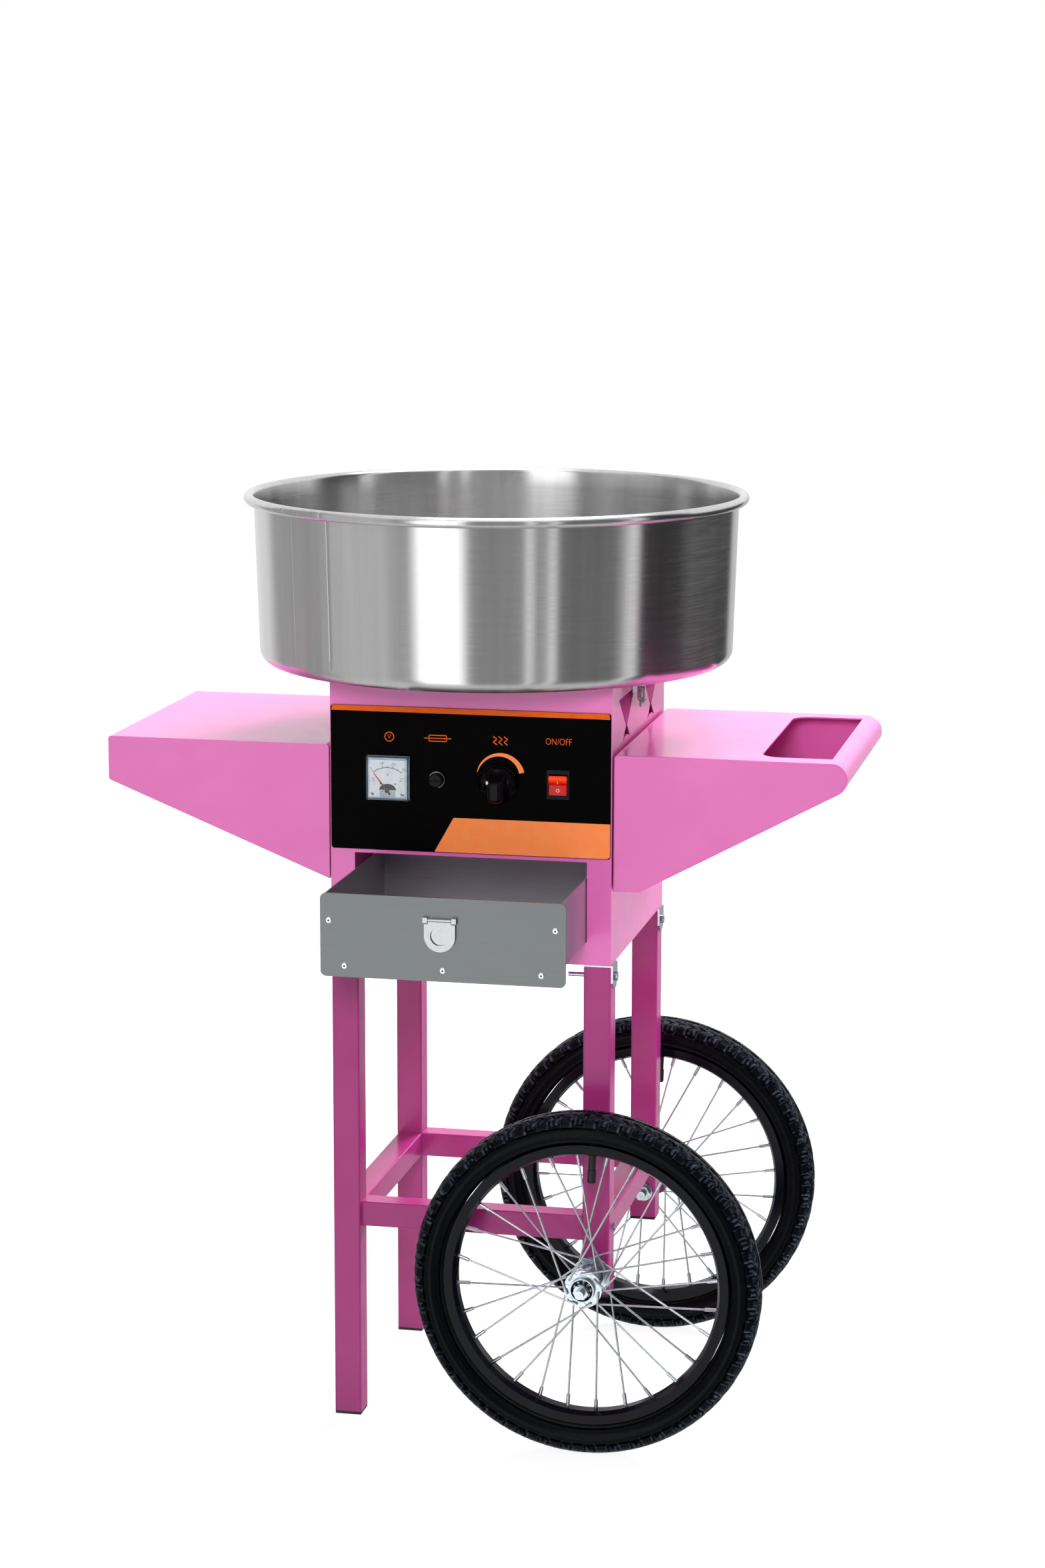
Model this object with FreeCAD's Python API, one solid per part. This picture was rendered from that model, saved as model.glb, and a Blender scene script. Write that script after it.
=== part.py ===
"""Cotton candy cart: a steel cabinet with a stainless bowl on top, two folded side shelves,
four square-tube legs and two spoked wheels. Millimetres, +Z up, the control panel faces -Y
and the wheels stand at the +X end. The drawing below is made about the middle of the cabinet;
the finished pieces are moved so that the origin is on the floor under the middle of the
whole cart's footprint."""
import FreeCAD
import Part
import os
from math import asin, atan2, cos, hypot, pi, radians, sin

V = FreeCAD.Vector

# Cabinet
CAB_W = 290.0
CAB_D = 300.0
CAB_BOTTOM = 494.0
CAB_TOP = 780.0
SHEET = 1.5
HALF_W = CAB_W / 2
HALF_D = CAB_D / 2

# Control panel, on the cabinet's front
PANEL_HALF = 144.0
PANEL_Z = (603.5, 751.0)
PANEL_T = 1.5
FACE = -HALF_D - PANEL_T
METER_XZ = (-84.0, 678.0)
METER_W = 44.0
METER_H = 45.0
METER_PIVOT_Z = 665.5
FUSE_XZ = (-33.5, 678.3)
KNOB_XZ = (30.2, 677.0)
KNOB_R = 19.8
SWITCH_XZ = (90.8, 677.8)
SWITCH_W = 23.0
SWITCH_H = 29.6
ROCKER_TILT = 12.0
NEEDLE_REST = 38.0

# Drawer, shown pulled out by DRAWER_OUT
OPENING_HALF = 120.0
OPENING_Z = (517.0, 599.5)
DRAWER_OUT = 120.5
PLATE_X = (-124.0, 123.2)
PLATE_Z = (499.0, 583.0)
BOX_HALF = 119.2
BOX_Z = (517.5, 583.0)
BOX_DEPTH = 235.0
DRAWER_T = 1.2
PLATE_T = 1.5
PLATE_Y = -HALF_D - DRAWER_OUT - DRAWER_T
LATCH_XZ = (-2.4, 548.0)

# Side shelves
SHELF_TOP = 709.5
SHELF_GAP = 1.5
SHELF_DROP = 138.5
SHELF_OUT = 380.0
SHELF_EDGE = 45.0
ROLL_R = 16.6
SHELF_FLAT = 28.0
SLOT_X = (290.0, 362.0)
SLOT_Y = (-126.0, 126.0)

# Legs and stretchers
LEG = 28.0
TUBE_T = 1.5
BRACKET_T = 2.0
LEG_TOP = CAB_BOTTOM - BRACKET_T
FOOT_T = 3.0
SHORT_LEG_Z = 146.5
STRETCHER = 26.0
STRETCHER_Z = 203.0
STRETCHER_IN = 8.0

# Wheels
WHEEL_R = 178.0
WHEEL_X = 132.0
WHEEL_Y = 199.0
RIM_IN = 134.0
RIM_OUT = 146.0
RIM_HALF = 12.5
FLANGE_R = 19.4
FLANGE_Y = 22.5
FLANGE_T = 2.6
SPOKES = 28
CROSSES = 3
SPOKE_R = 1.0
SPOKE_RING_R = 16.2
SPOKE_LIFT = 3.25
NIPPLE_L = 12.0
VALVE_ANGLE = 88.0
AXLE_R = 4.5
AXLE_OUT = 243.0
AXLE_IN = 106.0

# Bowl and spinning head, on one upright axis
AXIS_X = -6.0
BOWL_Z = 780.3
BOWL_R_LOW = 244.9
BOWL_R_TOP = 249.8
BOWL_CORNER = 13.5
BOWL_T = 1.0
RIM_TUBE_R = 5.2
BOWL_RIM_R = 260.0
BOWL_RIM_Z = 949.0
BOWL_HOLE_R = 80.0
COLLAR_H = 26.0
HEAD_R = 60.0
HEAD_Z = 822.0
SHAFT_R = 6.0

# Bowl clips, one on each side of the cabinet
CLIP_Y = -34.0
CLIP_PIN = (151.0, 768.0)
BAIL_PIN = (154.0, 758.6)
BAIL_END_Z = 741.6
BAIL_HALF = 9.0
LEVER_HALF = 7.0

# The cart's reach to the front and to the back, which places the origin
LATCH_PROUD = 4.6
FRONT_REACH = HALF_D + DRAWER_OUT + DRAWER_T + LATCH_PROUD
BACK_REACH = BOWL_RIM_R
SHIFT = V(0, (FRONT_REACH - BACK_REACH) / 2, 0)

SIDES = (-1, 1)


def block(x0, x1, y0, y1, z0, z1):
    low = V(min(x0, x1), min(y0, y1), min(z0, z1))
    return Part.makeBox(abs(x1 - x0), abs(y1 - y0), abs(z1 - z0), low)


def rod(start, end, r):
    a = V(*start)
    b = V(*end)
    return Part.makeCylinder(r, (b - a).Length, a, b - a)


def pipe(start, end, r_out, r_in):
    return rod(start, end, r_out).cut(rod(start, end, r_in))


def hexagon(start, end, across):
    """A hexagonal bar from start to end, with its width across the flats."""
    a = V(*start)
    b = V(*end)
    ring = [V(across / 3 ** 0.5 * cos(k * pi / 3), across / 3 ** 0.5 * sin(k * pi / 3), 0) for k in range(7)]
    bar = Part.Face(Part.makePolygon(ring)).extrude(V(0, 0, (b - a).Length))
    bar.Placement = FreeCAD.Placement(a, FreeCAD.Rotation(V(0, 0, 1), b - a))
    return bar


def union(shapes):
    first, rest = shapes[0], shapes[1:]
    return first.multiFuse(rest) if rest else first


def group(shapes):
    return Part.makeCompound(shapes)


def outline(points):
    """A closed face from a list of points and ("arc", through, end) steps."""
    edges = []
    here = V(*points[0])
    for step in points[1:]:
        if step[0] == "arc":
            end = V(*step[2])
            edges.append(Part.Arc(here, V(*step[1]), end).toShape())
        else:
            end = V(*step)
            edges.append(Part.makeLine(here, end))
        here = end
    if (here - V(*points[0])).Length > 1e-6:
        edges.append(Part.makeLine(here, V(*points[0])))
    return Part.Face(Part.Wire(edges))


def turned(profile, x, y, upright=True):
    """A profile of (radius, height) points turned about an upright axis, or about an axis
    along Y when upright is False, where height then runs along Y."""
    def place(p):
        return (x + p[0], y, p[1]) if upright else (x + p[0], p[1], y)

    steps = [("arc", place(p[1]), place(p[2])) if p[0] == "arc" else place(p) for p in profile]
    base = V(x, y, 0) if upright else V(x, 0, y)
    return outline(steps).revolve(base, V(0, 0, 1) if upright else V(0, 1, 0), 360)


def along_y(points, y0, y1):
    """A face of (x, z) points carried from y0 to y1."""
    steps = [("arc", (p[1][0], y0, p[1][1]), (p[2][0], y0, p[2][1])) if p[0] == "arc" else (p[0], y0, p[1])
             for p in points]
    return outline(steps).extrude(V(0, y1 - y0, 0))


def along_x(points, x0, x1):
    """A face of (y, z) points carried from x0 to x1."""
    return outline([(x0, p[0], p[1]) for p in points]).extrude(V(x1 - x0, 0, 0))


def mirrored(shape):
    return shape.mirror(V(0, 0, 0), V(1, 0, 0))


def edges_along(shape, axis, test):
    """The straight edges along one axis whose middle passes the test."""
    found = []
    for edge in shape.Edges:
        if len(edge.Vertexes) < 2 or not isinstance(edge.Curve, (Part.Line, Part.LineSegment)):
            continue
        way = edge.tangentAt(edge.FirstParameter)
        if abs(getattr(way, axis)) > 0.999 and test(edge.CenterOfMass):
            found.append(edge)
    return found


def save(name, shape):
    moved = shape.copy()
    moved.translate(SHIFT)
    moved.exportStep("parts/" + name + ".step")


def vent_points(y_mid):
    """A vent like a fish: a wide triangle above, a narrow waist and a small forked tail."""
    right = [(43, 759), (3, 727), (21, 713), (3, 717.5)]
    half = [(y_mid + y, z) for y, z in right]
    other = [(2 * y_mid - y, z) for y, z in reversed(half)]
    return half + [(y_mid, 714.5)] + other


def vent_flaps(y_mid):
    """The two triangles bent inwards along a vent's slanting edges."""
    flaps = []
    x = HALF_W - SHEET
    for s in SIDES:
        top = V(x + 0.3, y_mid + s * 44.0, 758.5)
        foot = V(x + 0.3, y_mid + s * 4.0, 726.6)
        tip = V(x - 15.0, y_mid + s * 15.0, 757.0)
        face = Part.Face(Part.makePolygon([top, foot, tip, top]))
        normal = (foot - top).cross(tip - top)
        normal.normalize()
        flaps.append(face.extrude(normal * (1.2 * -s)))
    return flaps


def cabinet_shell():
    """One sheet folded round the front and both sides, with return flanges at the back."""
    t = SHEET
    shell = block(-HALF_W, HALF_W, -HALF_D, HALF_D, CAB_BOTTOM, CAB_TOP - t)
    shell = shell.cut(block(-HALF_W + t, HALF_W - t, -HALF_D + t, HALF_D + 1, CAB_BOTTOM - 1, CAB_TOP + 1))
    for s in SIDES:
        flange = block(s * (HALF_W - t), s * (HALF_W - t - 14), HALF_D - 2 * t, HALF_D - t,
                       CAB_BOTTOM + t, CAB_TOP - 2 * t)
        shell = shell.fuse(flange)
    front = (-HALF_D - 1, -HALF_D + t + 1)
    cuts = [block(-OPENING_HALF, OPENING_HALF, *front, *OPENING_Z)]
    cuts.append(rod((METER_XZ[0], front[0], METER_XZ[1]), (METER_XZ[0], front[1], METER_XZ[1]), 19.0))
    cuts.append(rod((FUSE_XZ[0], front[0], FUSE_XZ[1]), (FUSE_XZ[0], front[1], FUSE_XZ[1]), 6.3))
    cuts.append(rod((KNOB_XZ[0], front[0], KNOB_XZ[1]), (KNOB_XZ[0], front[1], KNOB_XZ[1]), 4.0))
    cuts.append(switch_hole(*front))
    for y_mid in (-72, 68):
        cuts.append(along_x(vent_points(y_mid), -HALF_W - 1, HALF_W + 1))
    for y, z in SHELF_BOLTS:
        cuts.append(rod((-HALF_W - 1, y, z), (HALF_W + 1, y, z), 3.3))
    for x, z in REAR_SCREWS:
        cuts.append(rod((x, HALF_D - 5, z), (x, HALF_D, z), 1.95))
    shell = shell.cut(union(cuts))
    flaps = [flap for y_mid in (-72, 68) for flap in vent_flaps(y_mid)]
    return shell.multiFuse(flaps + [mirrored(flap) for flap in flaps])


SHELF_BOLTS = [(y, z) for y in (-110, 110) for z in (594, 686)]


def switch_hole(y0, y1):
    x, z = SWITCH_XZ
    return block(x - 10.5, x + 10.5, y0, y1, z - 13.2, z + 13.2)


def cabinet_floor():
    t = SHEET
    inside = HALF_W - t - 0.2
    plate = block(-inside, inside, -HALF_D + t + 0.2, HALF_D - 2 * t - 0.2, CAB_BOTTOM, CAB_BOTTOM + t)
    for s in SIDES:
        lip = block(s * inside, s * (inside - t), -HALF_D + 20, HALF_D - 20, CAB_BOTTOM, CAB_BOTTOM + 14)
        plate = plate.fuse(lip)
    return plate


def cabinet_top():
    """The lid plate with a raised ring that centres the bowl, and a hole for the shaft."""
    t = SHEET
    plate = block(-HALF_W, HALF_W, -HALF_D, HALF_D, CAB_TOP - t, CAB_TOP)
    ring = pipe((AXIS_X, 0, CAB_TOP - t), (AXIS_X, 0, CAB_TOP + 12), BOWL_HOLE_R - 1.5, BOWL_HOLE_R - 3.0)
    plate = plate.fuse(ring)
    return plate.cut(rod((AXIS_X, 0, CAB_TOP - 5), (AXIS_X, 0, CAB_TOP + 5), 26))


def rear_cover():
    """The back plate, with two columns of air slots and the hole for the cord gland."""
    t = SHEET
    half = HALF_W - t - 0.2
    plate = block(-half, half, HALF_D - t, HALF_D, CAB_BOTTOM + t + 0.2, CAB_TOP - t - 0.2)
    cuts = [rod((GLAND_XZ[0], HALF_D - 5, GLAND_XZ[1]), (GLAND_XZ[0], HALF_D + 5, GLAND_XZ[1]), 6.0)]
    for row in range(7):
        z = 640 + row * 14
        for s in SIDES:
            cuts.append(block(s * 20, s * 90, HALF_D - 5, HALF_D + 5, z, z + 5))
    for x, z in REAR_SCREWS:
        cuts.append(rod((x, HALF_D - 5, z), (x, HALF_D + 5, z), 2.2))
    return plate.cut(union(cuts))


GLAND_XZ = (95.0, 610.0)
REAR_SCREWS = [(s * 136.0, z) for s in SIDES for z in (510, 637, 764)]


def small_screws():
    """Screws of the rear cover, and the bolts that hold the shelves to the cabinet."""
    made = []
    for x, z in REAR_SCREWS:
        head = Part.makeCylinder(3.8, 2.0, V(x, HALF_D, z), V(0, 1, 0))
        made.append(head.fuse(rod((x, HALF_D - 6, z), (x, HALF_D + 0.5, z), 1.9)))
    inner = HALF_W + SHELF_GAP + SHEET
    for s in SIDES:
        for y, z in SHELF_BOLTS:
            head = hexagon((s * inner, y, z), (s * (inner + 4), y, z), 10)
            bolt = head.fuse(rod((s * (inner + 1), y, z), (s * (HALF_W - 12), y, z), 2.9))
            washer = pipe((s * HALF_W, y, z), (s * (HALF_W + SHELF_GAP), y, z), 6.5, 2.95)
            nut = hexagon((s * (HALF_W - SHEET - 5), y, z), (s * (HALF_W - SHEET), y, z), 10)
            nut = nut.cut(rod((s * (HALF_W - 12), y, z), (s * HALF_W, y, z), 2.95))
            made += [bolt, washer, nut]
    return group(made)


def cord_gland():
    x, z = GLAND_XZ
    outer = hexagon((x, HALF_D, z), (x, HALF_D + 6, z), 17)
    outer = outer.fuse(Part.makeCone(7.5, 5.5, 9, V(x, HALF_D + 6, z), V(0, 1, 0)))
    outer = outer.fuse(rod((x, HALF_D - 8, z), (x, HALF_D, z), 5.9))
    nut = hexagon((x, HALF_D - SHEET - 4, z), (x, HALF_D - SHEET, z), 15)
    nut = nut.cut(rod((x, 0, z), (x, HALF_D, z), 5.95))
    return group([outer.cut(rod((x, HALF_D - 20, z), (x, HALF_D + 30, z), 3.6)), nut])


def control_panel():
    plate = block(-PANEL_HALF, PANEL_HALF, FACE, -HALF_D, *PANEL_Z)
    corners = edges_along(plate, "y", lambda c: True)
    plate = plate.makeFillet(3.0, corners)
    y = (FACE - 1, -HALF_D + 1)
    cuts = [rod((METER_XZ[0], y[0], METER_XZ[1]), (METER_XZ[0], y[1], METER_XZ[1]), 19.0)]
    cuts.append(rod((FUSE_XZ[0], y[0], FUSE_XZ[1]), (FUSE_XZ[0], y[1], FUSE_XZ[1]), 6.3))
    cuts.append(rod((KNOB_XZ[0], y[0], KNOB_XZ[1]), (KNOB_XZ[0], y[1], KNOB_XZ[1]), 4.0))
    cuts.append(switch_hole(*y))
    return plate.cut(union(cuts))


def meter_body():
    x, z = METER_XZ
    flange = block(x - METER_W / 2, x + METER_W / 2, FACE - 2.5, FACE, z - METER_H / 2, z + METER_H / 2)
    can = rod((x, FACE - 0.5, z), (x, -HALF_D + 30, z), 18.7)
    body = flange.fuse(can)
    body = body.cut(rod((x, FACE - 4, METER_PIVOT_Z), (x, FACE + 8, METER_PIVOT_Z), 1.2))
    studs = [rod((x + s * 12, -HALF_D + 29, z), (x + s * 12, -HALF_D + 38, z), 2.0) for s in SIDES]
    return body.multiFuse(studs)


def meter_cover():
    """The clear cover: a shallow box with bevelled front edges, open towards the dial."""
    x, z = METER_XZ
    half_w, half_h = METER_W / 2, METER_H / 2
    y0, y1 = FACE - 10.0, FACE - 2.5
    cover = block(x - half_w, x + half_w, y0, y1, z - half_h, z + half_h)
    cover = cover.makeChamfer(2.4, edges_at_y(cover, y0))
    wall = 1.3
    hollow = block(x - half_w + wall, x + half_w - wall, y0 + wall, y1 + 1,
                   z - half_h + wall, z + half_h - wall)
    return cover.cut(hollow.makeChamfer(1.6, edges_at_y(hollow, y0 + wall)))


def edges_at_y(shape, y):
    return [e for e in shape.Edges if abs(e.CenterOfMass.y - y) < 1e-6]


def meter_dial():
    x, z = METER_XZ
    plate = block(x - 19, x + 19, FACE - 3.6, FACE - 2.6, z - 19, z + 19)
    plate = plate.cut(rod((x, FACE - 5, METER_PIVOT_Z), (x, FACE, METER_PIVOT_Z), 1.2))
    screws = [rod((x + s * 15.5, FACE - 4.6, z - 16), (x + s * 15.5, FACE - 3.6, z - 16), 1.8) for s in SIDES]
    return group([plate] + screws)


def meter_needle():
    x = METER_XZ[0]
    z = METER_PIVOT_Z
    y = FACE - 6.0
    blade = along_y([(x - 1.0, z - 5), (x + 1.0, z - 5), (x + 0.35, z + 23), (x - 0.35, z + 23)], y, y + 0.5)
    hub = rod((x, y - 0.6, z), (x, y + 1.4, z), 2.2)
    spindle = rod((x, y, z), (x, FACE + 4, z), 1.12)
    needle = union([blade, hub, spindle])
    needle.rotate(V(x, y, z), V(0, 1, 0), -NEEDLE_REST)
    return needle


def fuse_holder():
    """The holder's barrel and collar, with the cartridge lying in it."""
    x, z = FUSE_XZ
    barrel = rod((x, FACE, z), (x, -HALF_D + 36, z), 6.0)
    collar = rod((x, FACE - 1.8, z), (x, FACE, z), 8.6)
    nut = hexagon((x, -HALF_D + SHEET, z), (x, -HALF_D + SHEET + 3, z), 15)
    bore = rod((x, FACE - 3, z), (x, -HALF_D + 34, z), 4.65)
    cartridge = rod((x, -HALF_D + 12, z), (x, -HALF_D + 32, z), 3.0)
    return group([union([barrel, collar, nut]).cut(bore), cartridge])


def fuse_cap():
    x, z = FUSE_XZ
    y0 = FACE - 2.1
    head = rod((x, y0 - 7.5, z), (x, y0, z), 7.4)
    head = head.makeFillet(1.5, edges_at_y(head, y0 - 7.5))
    plug = rod((x, y0, z), (x, y0 + 12, z), 4.6)
    slot = block(x - 6, x + 6, y0 - 8, y0 - 5.5, z - 0.7, z + 0.7)
    return head.fuse(plug).cut(slot)


def dimmer_body():
    x, z = KNOB_XZ
    inner = -HALF_D + SHEET
    case = block(x - 18, x + 18, inner + 1, inner + 24, z - 18, z + 18)
    bush = rod((x, FACE - 0.5, z), (x, inner + 2, z), 3.9)
    nut = hexagon((x, inner, z), (x, inner + 1.05, z), 11)
    body = union([case, bush, nut])
    return body.cut(rod((x, FACE - 5, z), (x, inner + 14, z), 3.05))


def temperature_knob():
    """A round skirt with a bar grip, on its shaft."""
    x, z = KNOB_XZ
    y = FACE - 0.8
    outline = [(0, y), (KNOB_R, y), (KNOB_R, y - 2.5), (KNOB_R - 3, y - 7), (0, y - 8)]
    skirt = turned(outline, x, z, upright=False)
    bar = [(x - 5.5, z - 19), (x + 5.5, z - 19), (x + 4.5, z + 17), (x - 4.5, z + 17)]
    grip = along_y(bar, y - 25, y - 6)
    grip = grip.makeFillet(2.0, edges_at_y(grip, y - 25))
    shaft = rod((x, y - 5, z), (x, -HALF_D + 13, z), 3.0)
    return union([skirt, grip, shaft])


def switch_body():
    x, z = SWITCH_XZ
    bezel = block(x - SWITCH_W / 2, x + SWITCH_W / 2, FACE - 2.0, FACE, z - SWITCH_H / 2, z + SWITCH_H / 2)
    case = block(x - 10.3, x + 10.3, FACE - 0.5, -HALF_D + 22, z - 13, z + 13)
    pocket = block(x - 9.3, x + 9.3, FACE - 3, FACE + 8, z - 10.6, z + 10.6)
    blades = [block(x - 3, x + 3, -HALF_D + 21, -HALF_D + 29, z + dz - 0.4, z + dz + 0.4)
              for dz in (-8, 0, 8)]
    body = bezel.fuse(case.cut(block(x - 9.3, x + 9.3, FACE - 1, -HALF_D + 20, z - 12, z + 12)))
    sockets = rod((x - 9.9, FACE - 0.5, z), (x + 9.9, FACE - 0.5, z), 1.25)
    return body.cut(pocket).cut(sockets).multiFuse(blades)


def switch_rocker():
    x, z = SWITCH_XZ
    y = FACE - 0.5
    upper = [(y + 4, z + 5), (y - 1, z + 9.6), (y - 5.5, z + 9.3)]
    lower = [(y - 5.5, z - 9.3), (y - 1, z - 9.6), (y + 4, z - 5)]
    rocker = along_x(upper + [(y - 3.6, z)] + lower, x - 9.0, x + 9.0)
    rocker = rocker.fuse(rod((x - 9.85, y, z), (x + 9.85, y, z), 1.2))
    rocker.rotate(V(x, y, z), V(1, 0, 0), -ROCKER_TILT)
    return rocker


def rivet_holes():
    return union([rod((x, PLATE_Y - 5, z), (x, PLATE_Y + 10, z), 1.7) for x, z in RIVETS])


def drawer_box():
    """A tray folded from sheet, open on top, with a flange turned down behind the plate."""
    t = DRAWER_T
    y0 = PLATE_Y + PLATE_T
    outer = block(-BOX_HALF, BOX_HALF, y0, y0 + BOX_DEPTH, *BOX_Z)
    hollow = block(-BOX_HALF + t, BOX_HALF - t, y0 + t, y0 + BOX_DEPTH - t, BOX_Z[0] + t, BOX_Z[1] + 1)
    flange = block(-BOX_HALF + 8, BOX_HALF - 8, y0, y0 + t, PLATE_Z[0] + 4, BOX_Z[0] + t)
    return outer.cut(hollow).fuse(flange).cut(rivet_holes())


def drawer_front():
    plate = block(*PLATE_X, PLATE_Y, PLATE_Y + PLATE_T, *PLATE_Z)
    plate = plate.makeFillet(6.0, edges_along(plate, "y", lambda c: True))
    return plate.cut(rivet_holes())


RIVETS = [(-115.2, 555.5), (-99.5, 510.2), (-0.1, 510.2), (98.7, 510.2), (112.6, 555.5)]


def drawer_rivets():
    y0 = PLATE_Y
    made = []
    for x, z in RIVETS:
        outline = [(0.9, y0 - 1.1), (2.4, y0 - 1.1), (3.3, y0 - 0.3), (3.3, y0), (0.9, y0)]
        head = turned(outline, x, z, upright=False)
        stem = pipe((x, y0, z), (x, y0 + PLATE_T + DRAWER_T + 0.6, z), 1.65, 0.9)
        made.append(head.fuse(stem))
    return group(made)


def latch_base():
    """The latch's back plate with its two knuckles and pin."""
    x, z = LATCH_XZ
    y0 = PLATE_Y
    plate = block(x - 15, x + 15, y0 - 0.8, y0, z - 8, z + 15)
    plate = plate.fuse(rod((x, y0 - 0.8, z - 3), (x, y0, z - 3), 14.5))
    knuckles = [block(x + s * 12.2, x + s * 16.8, y0 - 4.4, y0 - 0.5, z + 9.5, z + 16) for s in SIDES]
    knuckles = [k.makeFillet(1.2, edges_along(k, "x", lambda c: c.y < y0 - 4)) for k in knuckles]
    pin = rod((x - 16, y0 - 2.7, z + 13), (x + 16, y0 - 2.7, z + 13), 0.9)
    return union([plate] + knuckles + [pin])


def latch_flap():
    """The D-shaped flap with its round finger hole, hung from the pin."""
    x, z = LATCH_XZ
    y0 = PLATE_Y - 1.1
    thick = 2.0
    half = 15.6
    low = z - 3
    neck = 11.6
    pin_z = z + 13
    shape = [(x - half, low), ("arc", (x, low - half), (x + half, low)), (x + half, z + 9), (x + neck, z + 9),
             (x + neck, pin_z - 0.5), (x - neck, pin_z - 0.5), (x - neck, z + 9), (x - half, z + 9)]
    flap = along_y(shape, y0 - thick, y0)
    flap = flap.fuse(rod((x - neck, y0 - 1.6, pin_z), (x + neck, y0 - 1.6, pin_z), 1.7))
    flap = flap.cut(rod((x, y0 - 9, low), (x, y0 + 5, low), 9.4))
    return flap.cut(rod((x - 20, y0 - 1.6, pin_z), (x + 20, y0 - 1.6, pin_z), 0.95))


def drawer_runners():
    """Two angle strips welded inside the cabinet's walls, which the drawer slides on."""
    made = []
    top = BOX_Z[0] - 0.2
    for s in SIDES:
        shelf = block(s * (HALF_W - SHEET), s * 104, -HALF_D + SHEET + 0.2, 105, top - 1.5, top)
        web = block(s * (HALF_W - SHEET), s * (HALF_W - SHEET - 1.5), -HALF_D + SHEET + 0.2, 105,
                    top - 1, top + 14)
        stop = block(s * 122, s * (HALF_W - SHEET - 1), 95, 96.5, top - 1, top + 14)
        made.append(union([shelf, web, stop]))
    return group(made)


def shelf_profile(inset):
    """Side view of the shelf at the handle end: flat top, rolled edge and sloping underside."""
    top = SHELF_TOP - inset
    low = SHELF_TOP - SHELF_DROP + inset
    inner = HALF_W + SHELF_GAP + inset
    r = ROLL_R - inset
    centre = (SHELF_OUT - ROLL_R, SHELF_TOP - ROLL_R)
    foot = (HALF_W + SHELF_FLAT + (inset * 0.5), low)
    dx, dz = centre[0] - foot[0], centre[1] - foot[1]
    slope = atan2(dz, dx) - asin(r / hypot(dx, dz))
    tangent = (centre[0] + r * sin(slope), centre[1] - r * cos(slope))
    middle = (centre[0] + r * cos(radians(15)), centre[1] + r * sin(radians(15)))
    return [(inner, top), (centre[0], top), ("arc", middle, tangent), foot, (inner, low)]


def shelf_bolt_holes(s):
    x0 = HALF_W
    x1 = HALF_W + SHELF_GAP + SHEET + 1
    return union([rod((s * x0, y, z), (s * x1, y, z), 3.3) for y, z in SHELF_BOLTS])


def right_shelf():
    """The shelf at the wheel end: a closed folded box whose rolled end and slot make the handle."""
    outer = along_y(shelf_profile(0), -HALF_D, HALF_D)
    inner_edge = edges_along(outer, "y", lambda c: c.z > SHELF_TOP - 1 and c.x < HALF_W + 5)
    outer = outer.makeFillet(4.0, inner_edge)
    front_edges = edges_along(outer, "x", lambda c: c.z > SHELF_TOP - 1)
    outer = outer.makeFillet(1.4, front_edges)
    inner = along_y(shelf_profile(SHEET), -HALF_D + SHEET, HALF_D - SHEET)
    shelf = outer.cut(inner)
    slot = block(*SLOT_X, *SLOT_Y, SHELF_TOP - 6, SHELF_TOP + 6)
    slot = slot.makeFillet(20.0, edges_along(slot, "z", lambda c: c.x < SLOT_X[0] + 1))
    return shelf.cut(slot).cut(shelf_bolt_holes(1))


def left_shelf():
    """The plain shelf: a folded box with an upright outer edge, open underneath."""
    inner_x = -HALF_W - SHELF_GAP
    low = SHELF_TOP - SHELF_DROP
    edge = SHELF_TOP - SHELF_EDGE

    def profile(k):
        return [(inner_x - k, SHELF_TOP - k), (-SHELF_OUT + k, SHELF_TOP - k),
                (-SHELF_OUT + k, edge + k * 0.7), (inner_x - k, low + k * 1.2)]

    outer = along_y(profile(0), -HALF_D, HALF_D)
    bend = edges_along(outer, "y", lambda c: c.z > SHELF_TOP - 1 and c.x > inner_x - 1)
    outer = outer.makeFillet(4.0, bend)
    outer = outer.makeFillet(3.0, edges_along(outer, "y", lambda c: c.x < -SHELF_OUT + 1))
    shelf = outer.cut(along_y(profile(SHEET), -HALF_D + SHEET, HALF_D - SHEET))
    lip = 12.0
    mouth = [(inner_x - lip, low - 20), (inner_x - lip, low + 12),
             (-SHELF_OUT + lip, edge + 4), (-SHELF_OUT + lip, edge - 40)]
    shelf = shelf.cut(along_y(mouth, -HALF_D + lip, HALF_D - lip))
    return shelf.cut(shelf_bolt_holes(-1))


def square_tube(x0, x1, y0, y1, z0, z1, axis):
    """A square tube along one axis, with slightly rounded corners."""
    outer = block(x0, x1, y0, y1, z0, z1)
    outer = outer.makeFillet(1.6, edges_along(outer, axis, lambda c: True))
    t = TUBE_T
    grow = {"x": (1, -t, -t), "y": (-t, 1, -t), "z": (-t, -t, 1)}[axis]
    inner = block(min(x0, x1) - grow[0], max(x0, x1) + grow[0], min(y0, y1) - grow[1], max(y0, y1) + grow[1],
                  z0 - grow[2], z1 + grow[2])
    return outer.cut(inner)


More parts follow.
